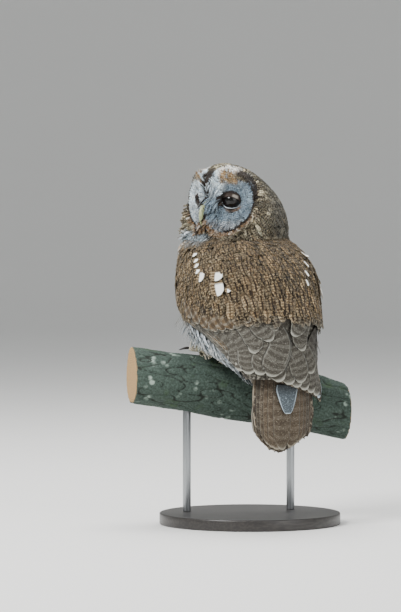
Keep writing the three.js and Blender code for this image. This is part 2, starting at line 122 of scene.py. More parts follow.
# Outline of a facial disc round its eye: turn in degrees from outwards over the top, and reach in mm.
DISC_TURNS = (-180, -155, -132, -120, -100, -78, -67, -42, 0, 34, 78, 109, 129, 149, 164, 180)
DISC_REACHES = (34.7, 35.5, 40, 42, 41.5, 37, 33.6, 33, 31.5, 33.4, 36, 41, 38.7, 36, 35.5, 34.7)


# ---- Small helpers ----


def linear(hexa):
    """An sRGB hex colour as linear red, green and blue."""
    parts = [int(hexa[i : i + 2], 16) / 255 for i in (0, 2, 4)]
    return tuple(c / 12.92 if c <= 0.04045 else ((c + 0.055) / 1.055) ** 2.4 for c in parts)


def length(name, description, millimetres):
    """A size setting, given in millimetres."""
    return FloatProperty(name=name, description=description, default=millimetres * MM, unit="LENGTH",
                         precision=4)


def number(name, description, default):
    """A count setting."""
    return IntProperty(name=name, description=description, default=default, min=6)


def colour(name, description, hexa):
    """A colour setting, given as sRGB hex."""
    return FloatVectorProperty(name=name, description=description, default=linear(hexa), subtype="COLOR",
                               size=3, min=0, max=1)


def soft(low, high, values):
    """A smooth step from 0 at low to 1 at high, and the other way round where high is under low."""
    share = np.clip((values - low) / (high - low), 0, 1)
    return share * share * (3 - 2 * share)


def unit(vectors):
    """Vectors scaled to a length of 1."""
    return vectors / np.maximum(np.linalg.norm(vectors, axis=-1, keepdims=True), 1e-12)


def mottle(u, v, w=0.0):
    """Smooth random values from about -1 to 1 at places given in cells of the pattern."""
    places = np.stack(np.broadcast_arrays(u, v, w), 1) + 1000.0
    low = np.floor(places).astype(np.int64)
    share = places - low
    share = share * share * (3 - 2 * share)
    total = np.zeros(len(places))
    for corner in product((0, 1), repeat=3):
        cell = low + corner
        mixed = cell[:, 0] * 73856093 ^ cell[:, 1] * 19349663 ^ cell[:, 2] * 83492791
        mixed = (mixed ^ mixed >> 13) * 1274126177 & 0xFFFFFFFF
        weight = np.prod(np.where(corner, share, 1 - share), axis=1)
        total += weight * ((mixed ^ mixed >> 16) % 65536 / 32768 - 1)
    return total


def axis_middle(level):
    """Middle of the body in Y at a level, in mm."""
    return np.interp(level, AXIS_LEVELS, AXIS_MIDDLES)


def wing_lead(level):
    """Turn of the folded wing's leading edge at a level, in degrees."""
    return np.interp(level, EDGE_LEVELS, EDGE_LEADS)


def around_body(points):
    """Turn round the body in degrees: 0 at either side, 90 on the back, -90 on the breast."""
    x, y, z = (points / MM).T
    return np.degrees(np.arctan2(y - axis_middle(z), np.abs(x)))


def head_frame(points):
    """Places in the head's own frame in mm: to the bird's left, backwards and up."""
    shift = (points - HEAD_CENTRE) / MM
    c, s = math.cos(HEAD_TURN), math.sin(HEAD_TURN)
    return np.stack((c * shift[:, 0] + s * shift[:, 1], c * shift[:, 1] - s * shift[:, 0], shift[:, 2]), 1)


def from_head(side, back, level):
    """A place in the head's own frame, in mm, as a point in metres."""
    c, s = math.cos(HEAD_TURN), math.sin(HEAD_TURN)
    return np.array((c * side - s * back, s * side + c * back, level)) * MM + HEAD_CENTRE


def eye_centre(side):
    """Middle of an eye in metres; side is 1 for the left eye and -1 for the right."""
    return from_head(side * EYE_PLACE["side"], -EYE_PLACE["forward"], EYE_PLACE["level"])


def disc_frame(points):
    """Places round the nearer eye in mm: outwards, up and forwards along the disc's own facing."""
    local = head_frame(points)
    side = np.where(local[:, 0] >= 0, 1.0, -1.0)
    across = side * local[:, 0] - EYE_PLACE["side"]
    back = local[:, 1] + EYE_PLACE["forward"]
    c, s = math.cos(DISC_TURN), math.sin(DISC_TURN)
    return np.stack((across * c + back * s, local[:, 2] - EYE_PLACE["level"], across * s - back * c), 1)


def disc_reach(out, up):
    """Distance from the eye, and how far that is past the disc's outline, in mm."""
    reach = np.hypot(out, up)
    return reach, reach - np.interp(np.degrees(np.arctan2(up, out)), DISC_TURNS, DISC_REACHES)


# ---- Settings ----


class PlumageColours(bpy.types.PropertyGroup):
    """Colours of the coat."""

    mantle: colour("Mantle", "Ground colour of the back", "55442F")
    mantle_buff: colour("Mantle bars", "Buff bars of the back", "BBA784")
    covert: colour("Coverts", "Ground colour of the wing coverts", "5B4A34")
    covert_buff: colour("Covert bars", "Bars and edges of the wing coverts", "C3B08C")
    quill: colour("Flight feathers", "Ground colour of the flight feathers", "403C35")
    quill_pale: colour("Flight feather bars", "Pale bars of the flight feathers", "A9A89D")
    tail: colour("Tail", "Ground colour of the tail", "443A2E")
    tail_pale: colour("Tail bars", "Pale bars of the tail", "ADA594")
    breast: colour("Breast", "Ground colour of the breast and flanks", "A48C66")
    breast_pale: colour("Breast edges", "White of the breast and flanks", "E6E8E8")
    down: colour("Leg down", "Feathering of the legs", "929B9F")
    toe: colour("Toe down", "Feathering of the toes", "E4D8BC")
    crown: colour("Crown", "Ground colour of the crown", "3A2E23")
    crown_buff: colour("Crown bars", "Buff bars of the crown", "D0C6A6")
    nape: colour("Nape", "Ground colour of the back of the head", "3D382F")
    nape_pale: colour("Nape bars", "Pale bars of the back of the head", "A09C8C")
    disc: colour("Facial disc", "Ground colour of the facial discs", "5B7080")
    disc_pale: colour("Facial disc bars", "Pale bars of the facial discs", "BFD0DB")
    disc_brown: colour("Disc patch", "Brown patch over each eye", "97692E")
    brow: colour("Brow", "White brow over each disc", "ECEAE2")
    rim: colour("Disc rim", "Dark rim of each disc", "2A231E")
    ruff: colour("Ruff", "Brown of the ruff under the discs", "94682A")
    throat: colour("Throat", "Blue-white throat", "6C7E87")
    white: colour("Scapular spots", "White of the scapular spots", "ECEEE9")


class CoatSizes(bpy.types.PropertyGroup):
    """Depth of the coat over the skin and the number of its flight feathers."""

    body_depth: length("Body depth", "Depth of the coat on the body", 5.5)
    head_depth: length("Head depth", "Depth of the coat on the head", 4.5)
    disc_depth: length("Disc depth", "Depth of the coat on the facial discs", 1.8)
    quill_depth: length("Quill depth", "Depth of the coat on the wing tips and tail", 1.9)
    toe_depth: length("Toe depth", "Depth of the coat on the toes", 0.7)
    voxel: length("Skin grain", "Size of the skin's faces", 2.0)
    secondaries: number("Flight feathers", "Flight feathers on the near wing; the far one has four less", 13)
    greater_coverts: number("Greater coverts", "Greater coverts on each wing", 12)
    rectrices: number("Tail feathers", "Feathers in the tail", 12)


class HeadSizes(bpy.types.PropertyGroup):
    """Eyes, lids, bill and claws."""

    eye_radius: length("Eye radius", "Radius of the eyeball", 11.5)
    opening_width: length("Lid opening width", "Half width between the corners of the lids", 11.0)
    opening_height: length("Lid opening height", "Half height between the lids", 6.9)
    opening_drop: length("Lid opening drop", "How far the opening sits under the eye's middle", 2.6)
    iris: colour("Iris", "Dark brown iris", "0B0605")
    lid: colour("Upper lid", "Grey brown upper lid", "2B201A")
    lid_rim: colour("Lid rim", "Pale rim of the lower lid", "CBD6DD")
    horn: colour("Bill", "Yellow-green horn of the bill", "9FA77C")
    claw: colour("Claws", "Dark horn of the claws", "2B2522")


class PerchSettings(bpy.types.PropertyGroup):
    """The cut branch and the display stand."""

    bark: colour("Bark", "Grey-green bark", "4A5850")
    bark_dark: colour("Bark cracks", "Dark of the bark's cracks", "262A25")
    lichen: colour("Lichen", "Pale lichen on the bark", "93A397")
    heartwood: colour("Cut wood", "Wood of the sawn ends", "B59468")
    grain: length("Bark grain", "Size of the branch's faces", 1.7)
    base_colour: colour("Base", "Black stained wood", "1F1C1A")
    steel: colour("Rods", "Satin steel", "A9ACAF")


class StageSettings(bpy.types.PropertyGroup):
    """Floor, camera and lights."""

    floor: colour("Floor", "Plain pale floor", "E9E8E5")
    frame_height: length("Frame height", "Height of the view at the bird", 756)
    distance: length("Camera distance", "Distance of the camera from the bird", 4500)
    elevation: FloatProperty(name="Elevation", description="Height angle of the camera",
                             default=math.radians(2.0), subtype="ANGLE")


# ---- Materials ----

# Settings that many nodes share: products, sums of a product, smooth steps and mixed colours.
TIMES = {"operation": "MULTIPLY"}
TIMES_PLUS = {"operation": "MULTIPLY_ADD"}
SINE = {"operation": "SINE"}
SMOOTH = {"interpolation_type": "SMOOTHSTEP"}
COLOURS = {"data_type": "RGBA"}
TINT = {"data_type": "RGBA", "blend_type": "MULTIPLY"}
VALUE, LOW, HIGH = range(3)  # inputs of a Map Range node
SHARE, FIRST, SECOND = 0, 6, 7  # inputs of a Mix node that mixes colours


def node(tree, kind, settings=None, inputs=None):
    """Adds a node; settings are its properties, and inputs its sockets' values, links or linked nodes."""
    made = tree.nodes.new("ShaderNode" + kind)
    for key, value in (settings or {}).items():
        setattr(made, key, value)
    for key, value in (inputs or {}).items():
        if isinstance(value, bpy.types.Node):
            value = next(socket for socket in value.outputs if socket.enabled)
        if isinstance(value, bpy.types.NodeSocket):
            tree.links.new(value, made.inputs[key])
        else:
            made.inputs[key].default_value = value
    return made


def new_material(name):
    """An empty material and the function that adds a node to it."""
    made = bpy.data.materials.new(name)
    made.use_nodes = True
    made.node_tree.nodes.clear()
    return made, partial(node, made.node_tree)


@lru_cache(maxsize=None)
def feather_material(name, bar_spacing, roughness, sheen, barb_spacing, rim=0.34, gap_shadow=0.0):
    """Keratin vane: dark shaft streak, wavy pale bars, pale edge and spot, over the ground colour.

    The matte barbs scatter light softly, so there is hardly a highlight, only a faint sheen at the edge.
    Spacings are in millimetres; the barbs are drawn coarser than real ones so that they show. Rim is the
    pale edge's share of the vane, and gap the strength of a painted shadow: a dark line along the vane's
    sides where it meets the next one. Long feathers have such a painted shadow line, and also straighter bars
    and paler ends than the small ones. The root half of every vane is darkened too, partly as the greyer base
    of a real feather and partly as painted shade where the feathers over it cover it.
    """
    made, add = new_material(name)
    ground = add("Attribute", {"attribute_name": "Ground"})
    pale = add("Attribute", {"attribute_name": "Pale"})
    marks = add("Attribute", {"attribute_name": "Marks"})
    streak, bars, edge = add("SeparateColor", None, {0: marks}).outputs
    spot = marks.outputs["Alpha"]
    vane = add("UVMap", {"uv_map": "Vane"})
    sideways, along, _ = add("SeparateXYZ", None, {0: vane}).outputs
    size = add("UVMap", {"uv_map": "VaneSize"})
    from_root = add("SeparateXYZ", None, {0: size}).outputs[1]
    from_shaft = add("Math", TIMES_PLUS, {0: sideways, 1: 2.0, 2: -1.0})
    across = add("Math", {"operation": "ABSOLUTE"}, {0: from_shaft})

    wobble = add("TexNoise", {"noise_dimensions": "2D"},
                 {"Vector": size, "Scale": 1.3 / bar_spacing, "Detail": 5.0, "Roughness": 0.7})
    waviness = 0.35 if gap_shadow else 1.1
    bent = add("Math", TIMES_PLUS, {0: wobble, 1: waviness * bar_spacing, 2: from_root})
    turned = add("Math", TIMES, {0: bent, 1: math.tau / bar_spacing})
    waves = add("Math", SINE, {0: turned})
    crests = add("MapRange", SMOOTH, {VALUE: waves, LOW: 0.0, HIGH: 0.75})
    pale_bars = add("Math", TIMES, {0: crests, 1: bars})
    troughs = add("MapRange", SMOOTH, {VALUE: waves, LOW: -0.35, HIGH: -0.95})
    dark_bars = add("Math", TIMES, {0: troughs, 1: bars})
    squeezed = add("Mapping", None, {"Vector": size, "Scale": (0.55, 1.0, 1.0)})
    worms = add("TexNoise", {"noise_dimensions": "2D"},
                {"Vector": squeezed, "Scale": 0.6, "Detail": 5.0, "Roughness": 0.85})

    shaft_width = add("Math", TIMES_PLUS, {0: along, 1: 0.22, 2: 0.13})
    beside = add("Math", {"operation": "SUBTRACT"}, {0: across, 1: 0.1})
    ragged = add("Math", TIMES_PLUS, {0: wobble, 1: 0.2, 2: beside})
    shaft = add("Math", {"operation": "LESS_THAN"}, {0: ragged, 1: shaft_width})
    shaft = add("Math", TIMES, {0: shaft, 1: streak})
    sides = add("MapRange", SMOOTH, {VALUE: across, LOW: 1 - rim, HIGH: 1 - 0.3 * rim})
    sides = add("Math", TIMES, {0: sides, 1: edge})
    end_strength = add("Math", TIMES_PLUS, {0: edge, 1: 1.0, 2: 0.6 if gap_shadow else 0.0})
    end_strength = add("Math", {"operation": "MINIMUM"}, {0: end_strength, 1: 1.0})
    end = add("MapRange", SMOOTH, {VALUE: along, LOW: 1 - 0.42 * rim, HIGH: 1 - 0.1 * rim})
    end = add("Math", TIMES, {0: end, 1: end_strength})
    outline = add("Math", {"operation": "MAXIMUM"}, {0: sides, 1: end})
    outer_half = add("MapRange", SMOOTH, {VALUE: along, LOW: 0.42, HIGH: 0.56})
    one_web = add("MapRange", SMOOTH, {VALUE: sideways, LOW: 0.34, HIGH: 0.44})
    tip = add("Math", TIMES, {0: outer_half, 1: spot})
    tip = add("Math", TIMES, {0: tip, 1: one_web})

    dark = add("Mix", TINT, {SHARE: 1.0, FIRST: ground, SECOND: (0.14, 0.13, 0.13, 1)})
    pale_worms = add("MapRange", SMOOTH, {VALUE: worms, LOW: 0.54, HIGH: 0.74})
    look = add("Mix", COLOURS, {SHARE: pale_worms, FIRST: ground, SECOND: pale})
    dark_worms = add("MapRange", SMOOTH, {VALUE: worms, LOW: 0.5, HIGH: 0.3})
    dark_worms = add("Math", TIMES, {0: dark_worms, 1: 0.6})
    look = add("Mix", COLOURS, {SHARE: dark_worms, FIRST: look, SECOND: dark})
    look = add("Mix", COLOURS, {SHARE: 0.8, FIRST: ground, SECOND: look})
    look = add("Mix", COLOURS, {SHARE: pale_bars, FIRST: look, SECOND: pale})
    dark_bars = add("Math", TIMES, {0: dark_bars, 1: 0.85})
    look = add("Mix", COLOURS, {SHARE: dark_bars, FIRST: look, SECOND: dark})
    look = add("Mix", COLOURS, {SHARE: outline, FIRST: look, SECOND: pale})
    look = add("Mix", COLOURS, {SHARE: shaft, FIRST: look, SECOND: dark})
    white = (*bpy.context.scene.owl_plumage.white, 1)
    look = add("Mix", COLOURS, {SHARE: tip, FIRST: look, SECOND: white})
    # Painted shadow: a dark line along both sides of the vane, short of its tip, where it slips under the
    # next feather.
    seam_shadow = add("MapRange", SMOOTH, {VALUE: across, LOW: 0.93, HIGH: 0.98})
    short_of_tip = add("MapRange", SMOOTH, {VALUE: along, LOW: 0.97, HIGH: 0.9})
    seam_shadow = add("Math", TIMES, {0: seam_shadow, 1: short_of_tip})
    seam_shadow = add("Math", TIMES, {0: seam_shadow, 1: gap_shadow})
    look = add("Mix", COLOURS, {SHARE: seam_shadow, FIRST: look, SECOND: dark})
    # Painted shade: the root half of each vane, where the feathers over it cover it, is darkened; this is
    # partly the greyer base of a real feather and partly painted shade.
    shaded = add("Mix", TINT, {SHARE: 1.0, FIRST: look, SECOND: (0.45, 0.43, 0.42, 1)})
    covered = add("MapRange", SMOOTH, {VALUE: along, LOW: 0.5, HIGH: 0.1})
    look = add("Mix", COLOURS, {SHARE: covered, FIRST: look, SECOND: shaded})

    chevron = add("Math", TIMES_PLUS, {0: across, 1: 1.6, 2: from_root})
    chevron = add("Math", TIMES, {0: chevron, 1: math.tau / barb_spacing})
    barbs = add("Math", SINE, {0: chevron})
    relief = add("Bump", None, {"Height": barbs, "Strength": 0.25, "Distance": 0.0003})
    shader = add("BsdfPrincipled", None, {
        "Base Color": look, "Roughness": roughness, "Normal": relief, "Sheen Weight": sheen,
        "Sheen Roughness": 0.5, "Specular IOR Level": 0.25})
    add("OutputMaterial", None, {"Surface": shader})
    return made


@lru_cache(maxsize=None)
def skin_material():
    """Skin under the coat with the coat's own colours: matte and mottled, and darkened as painted shade
    wherever the coat covers it.
    """
    made, add = new_material("Feathered_skin")
    ground = add("Attribute", {"attribute_name": "Ground"})
    pale = add("Attribute", {"attribute_name": "Pale"})
    bare = add("Attribute", {"attribute_name": "Bare"}).outputs["Fac"]
    place = add("TexCoord").outputs["Object"]
    clouds = add("TexNoise", None, {"Vector": place, "Scale": 280.0, "Detail": 4.0})
    clouds = add("MapRange", SMOOTH, {VALUE: clouds, LOW: 0.45, HIGH: 0.7})
    look = add("Mix", COLOURS, {SHARE: clouds, FIRST: ground, SECOND: pale})
    # Painted shade: the skin under the coat is darkened to about half; the bare lids keep their own colour.
    shaded = add("Mix", TINT, {SHARE: 1.0, FIRST: look, SECOND: (0.5, 0.48, 0.46, 1)})
    look = add("Mix", COLOURS, {SHARE: bare, FIRST: shaded, SECOND: ground})
    folds = add("TexNoise", None, {"Vector": place, "Scale": 900.0, "Detail": 2.0})
    relief = add("Bump", None, {"Height": folds, "Strength": 0.3, "Distance": 0.0004})
    shader = add("BsdfPrincipled", None, {
        "Base Color": look, "Roughness": 0.7, "Normal": relief, "Specular IOR Level": 0.3})
    add("OutputMaterial", None, {"Surface": shader})
    return made


@lru_cache(maxsize=None)
def eye_material():
    """Cornea over a dark iris: a wet clear coat, so one sharp highlight shows on an almost black ball."""
    made, add = new_material("Wet_cornea_over_dark_iris")
    dark_brown = bpy.context.scene.owl_head.iris
    from_axis = add("Attribute", {"attribute_name": "FromAxis"}).outputs["Fac"]
    place = add("TexCoord").outputs["Object"]
    fibre = add("TexNoise", None, {"Vector": place, "Scale": 1500.0, "Detail": 3.0})
    iris = add("Mix", COLOURS, {SHARE: fibre, FIRST: (*dark_brown, 1),
                                SECOND: (*[c * 1.9 for c in dark_brown], 1)})
    past_pupil = add("MapRange", SMOOTH, {VALUE: from_axis, LOW: 0.52, HIGH: 0.58})
    look = add("Mix", COLOURS, {SHARE: past_pupil, FIRST: (0.0015, 0.0012, 0.001, 1), SECOND: iris})
    past_iris = add("MapRange", SMOOTH, {VALUE: from_axis, LOW: 0.88, HIGH: 1.0})
    look = add("Mix", COLOURS, {SHARE: past_iris, FIRST: look, SECOND: (0.006, 0.004, 0.003, 1)})
    shader = add("BsdfPrincipled", None, {
        "Base Color": look, "Roughness": 0.3, "Coat Weight": 0.55, "Coat Roughness": 0.02,
        "Specular IOR Level": 0.1})
    add("OutputMaterial", None, {"Surface": shader})
    return made


@lru_cache(maxsize=None)
def horn_material(name, tone, dark, roughness):
    """Keratin horn grown in layers: satin, with faint darker streaks along it."""
    made, add = new_material(name)
    place = add("TexCoord").outputs["Object"]
    stretched = add("Mapping", None, {"Vector": place, "Scale": (1.0, 1.0, 0.25)})
    streaks = add("TexNoise", None, {"Vector": stretched, "Scale": 700.0, "Detail": 3.0})
    share = add("MapRange", SMOOTH, {VALUE: streaks, LOW: 0.4, HIGH: 0.75})
    look = add("Mix", COLOURS, {SHARE: share, FIRST: (*tone, 1), SECOND: (*dark, 1)})
    relief = add("Bump", None, {"Height": streaks, "Strength": 0.15, "Distance": 0.0003})
    shader = add("BsdfPrincipled", None, {
        "Base Color": look, "Roughness": roughness, "Normal": relief, "Specular IOR Level": 0.5})
    add("OutputMaterial", None, {"Surface": shader})
    return made


@lru_cache(maxsize=None)
def bark_material():
    """Living bark of an old bough: rough plates, dark cracks, grey-green algae and pale lichen."""
    made, add = new_material("Weathered_bark")
    perch = bpy.context.scene.owl_perch
    place = add("TexCoord").outputs["Object"]
    depth = add("Attribute", {"attribute_name": "Crack"}).outputs["Fac"]
    cut = add("Attribute", {"attribute_name": "Sawn"}).outputs["Fac"]
    from_heart = add("Attribute", {"attribute_name": "FromHeart"}).outputs["Fac"]
    patch = add("TexNoise", None, {"Vector": place, "Scale": 42.0, "Detail": 6.0})
    fine = add("TexNoise", None, {"Vector": place, "Scale": 420.0, "Detail": 5.0})
    spots = add("TexVoronoi", {"feature": "F1"}, {"Vector": place, "Scale": 95.0})
    plates = add("MapRange", SMOOTH, {VALUE: fine, LOW: 0.35, HIGH: 0.7})
    look = add("Mix", COLOURS, {SHARE: plates, FIRST: (*[c * 0.55 for c in perch.bark], 1),
                                SECOND: (*perch.bark, 1)})
    pale_patch = add("MapRange", SMOOTH, {VALUE: patch, LOW: 0.5, HIGH: 0.68})
    pale_spots = add("MapRange", SMOOTH, {VALUE: spots, LOW: 0.42, HIGH: 0.2})
    lichen = add("Math", TIMES, {0: pale_patch, 1: pale_spots})
    look = add("Mix", COLOURS, {SHARE: lichen, FIRST: look, SECOND: (*perch.lichen, 1)})
    algae = add("MapRange", SMOOTH, {VALUE: patch, LOW: 0.42, HIGH: 0.28})
    algae = add("Math", TIMES, {0: algae, 1: 0.7})
    look = add("Mix", COLOURS, {SHARE: algae, FIRST: look, SECOND: (*linear("3F5238"), 1)})
    cracks = add("MapRange", SMOOTH, {VALUE: depth, LOW: 0.35, HIGH: 0.9})
    look = add("Mix", COLOURS, {SHARE: cracks, FIRST: look, SECOND: (*perch.bark_dark, 1)})
    # Rings 2.1 mm apart, coarser than the real ones so that they show.
    rings = add("Math", TIMES_PLUS, {0: patch, 1: 0.006, 2: from_heart})
    rings = add("Math", TIMES, {0: rings, 1: math.tau / 0.0021})
    rings = add("Math", SINE, {0: rings})
    rings = add("MapRange", SMOOTH, {VALUE: rings, LOW: 0.1, HIGH: 0.9})
    wood = add("Mix", COLOURS, {SHARE: rings, FIRST: (*perch.heartwood, 1),
                                SECOND: (*[c * 0.5 for c in perch.heartwood], 1)})
    look = add("Mix", COLOURS, {SHARE: cut, FIRST: look, SECOND: wood})
    relief = add("Bump", None, {"Height": fine, "Strength": 0.6, "Distance": 0.0012})
    shader = add("BsdfPrincipled", None, {
        "Base Color": look, "Roughness": 0.92, "Normal": relief, "Specular IOR Level": 0.2})
    add("OutputMaterial", None, {"Surface": shader})
    return made


@lru_cache(maxsize=None)
def stained_wood_material():
    """Turned beech stained black: satin lacquer with the grain showing as fine paler lines.

    The lines are about 2.4 mm wide, as broad as the widest of real ones, so that they show.
    """
    made, add = new_material("Black_stained_beech")
    tone = bpy.context.scene.owl_perch.base_colour
    place = add("TexCoord").outputs["Object"]
    stretched = add("Mapping", None, {"Vector": place, "Scale": (0.08, 1.0, 1.0)})
    grain = add("TexNoise", None, {"Vector": stretched, "Scale": 420.0, "Detail": 4.0})
    share = add("MapRange", SMOOTH, {VALUE: grain, LOW: 0.4, HIGH: 0.65})
    look = add("Mix", COLOURS, {SHARE: share, FIRST: (*tone, 1), SECOND: (*[c * 2.4 for c in tone], 1)})
    relief = add("Bump", None, {"Height": grain, "Strength": 0.2, "Distance": 0.0003})
    shader = add("BsdfPrincipled", None, {
        "Base Color": look, "Roughness": 0.42, "Normal": relief, "Coat Weight": 0.25,
        "Coat Roughness": 0.25})
    add("OutputMaterial", None, {"Surface": shader})
    return made


@lru_cache(maxsize=None)
def steel_material():
    """Drawn steel rod, brushed: satin reflections with fine lines along it.

    The lines are about 0.6 mm apart, coarser than real brushing, so that they show.
    """
    made, add = new_material("Brushed_steel")
    tone = bpy.context.scene.owl_perch.steel
    place = add("TexCoord").outputs["Object"]
    stretched = add("Mapping", None, {"Vector": place, "Scale": (1.0, 1.0, 0.02)})
    lines = add("TexNoise", None, {"Vector": stretched, "Scale": 1800.0, "Detail": 2.0})
    look = add("Mix", COLOURS, {SHARE: lines, FIRST: (*tone, 1), SECOND: (*[c * 0.7 for c in tone], 1)})
    relief = add("Bump", None, {"Height": lines, "Strength": 0.1, "Distance": 0.0001})
    shader = add("BsdfPrincipled", None, {
        "Base Color": look, "Roughness": 0.34, "Normal": relief, "Metallic": 1.0})
    add("OutputMaterial", None, {"Surface": shader})
    return made


@lru_cache(maxsize=None)
def floor_material():
    """Painted studio floor: pale, matte and almost without pattern."""
    made, add = new_material("Matte_studio_paint")
    tone = bpy.context.scene.owl_stage.floor
    place = add("TexCoord").outputs["Object"]
    cloud = add("TexNoise", None, {"Vector": place, "Scale": 3.0, "Detail": 2.0})
    cloud = add("Math", TIMES, {0: cloud, 1: 0.2})
    look = add("Mix", COLOURS, {SHARE: cloud, FIRST: (*tone, 1), SECOND: (*[c * 0.9 for c in tone], 1)})
    shader = add("BsdfPrincipled", None, {"Base Color": look, "Roughness": 0.8})
    add("OutputMaterial", None, {"Surface": shader})
    return made


# ---- Meshes ----


def new_piece(name, mesh, material, body="root"):
    """A linked object of a mesh with its finish, riding on its body."""
    piece = bpy.data.objects.new(name, mesh)
    bpy.context.collection.objects.link(piece)
    mesh.materials.append(material)
    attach(piece, body)
    return piece


def merged_copy(name, nodes):
    """One mesh of the CAD nodes' merged copies."""
    shape = bmesh.new()
    for name_of_node in nodes:
        shape.from_mesh(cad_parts[name_of_node].data)
    bmesh.ops.remove_doubles(shape, verts=shape.verts, dist=1e-6)
    mesh = bpy.data.meshes.new(name)
    shape.to_mesh(mesh)
    shape.free()
    return mesh


def modified(mesh, *modifiers):
    """The mesh with modifiers applied; each is (kind, settings)."""
    holder = bpy.data.objects.new("holder", mesh)
    bpy.context.collection.objects.link(holder)
    for kind, settings in modifiers:
        made = holder.modifiers.new(kind, kind)
        for key, value in settings.items():
            setattr(made, key, value)
    graph = bpy.context.evaluated_depsgraph_get()
    result = bpy.data.meshes.new_from_object(holder.evaluated_get(graph))
    result.name = mesh.name
    bpy.data.objects.remove(holder)
    return result


def coordinates(mesh):
    """Places of a mesh's vertices, one row each."""
    flat = np.empty(len(mesh.vertices) * 3)
    mesh.vertices.foreach_get("co", flat)
    return flat.reshape(-1, 3)


def normals_of(mesh):
    """Normals at a mesh's vertices, one row each."""
    flat = np.empty(len(mesh.vertices) * 3)
    mesh.vertex_normals.foreach_get("vector", flat)
    return flat.reshape(-1, 3)


def smooth_shaded(mesh):
    mesh.polygons.foreach_set("use_smooth", np.ones(len(mesh.polygons), dtype=bool))


def set_colour(mesh, name, values):
    """A colour attribute, one value for each vertex."""
    if values.shape[1] == 3:
        values = np.hstack((values, np.ones((len(values), 1))))
    made = mesh.attributes.new(name, "FLOAT_COLOR", "POINT")
    made.data.foreach_set("color", values.astype(np.float32).ravel())


def set_number(mesh, name, values):
    """A number attribute, one value for each vertex."""
    made = mesh.attributes.new(name, "FLOAT", "POINT")
    made.data.foreach_set("value", values.astype(np.float32))


# ---- Markings of the coat ----


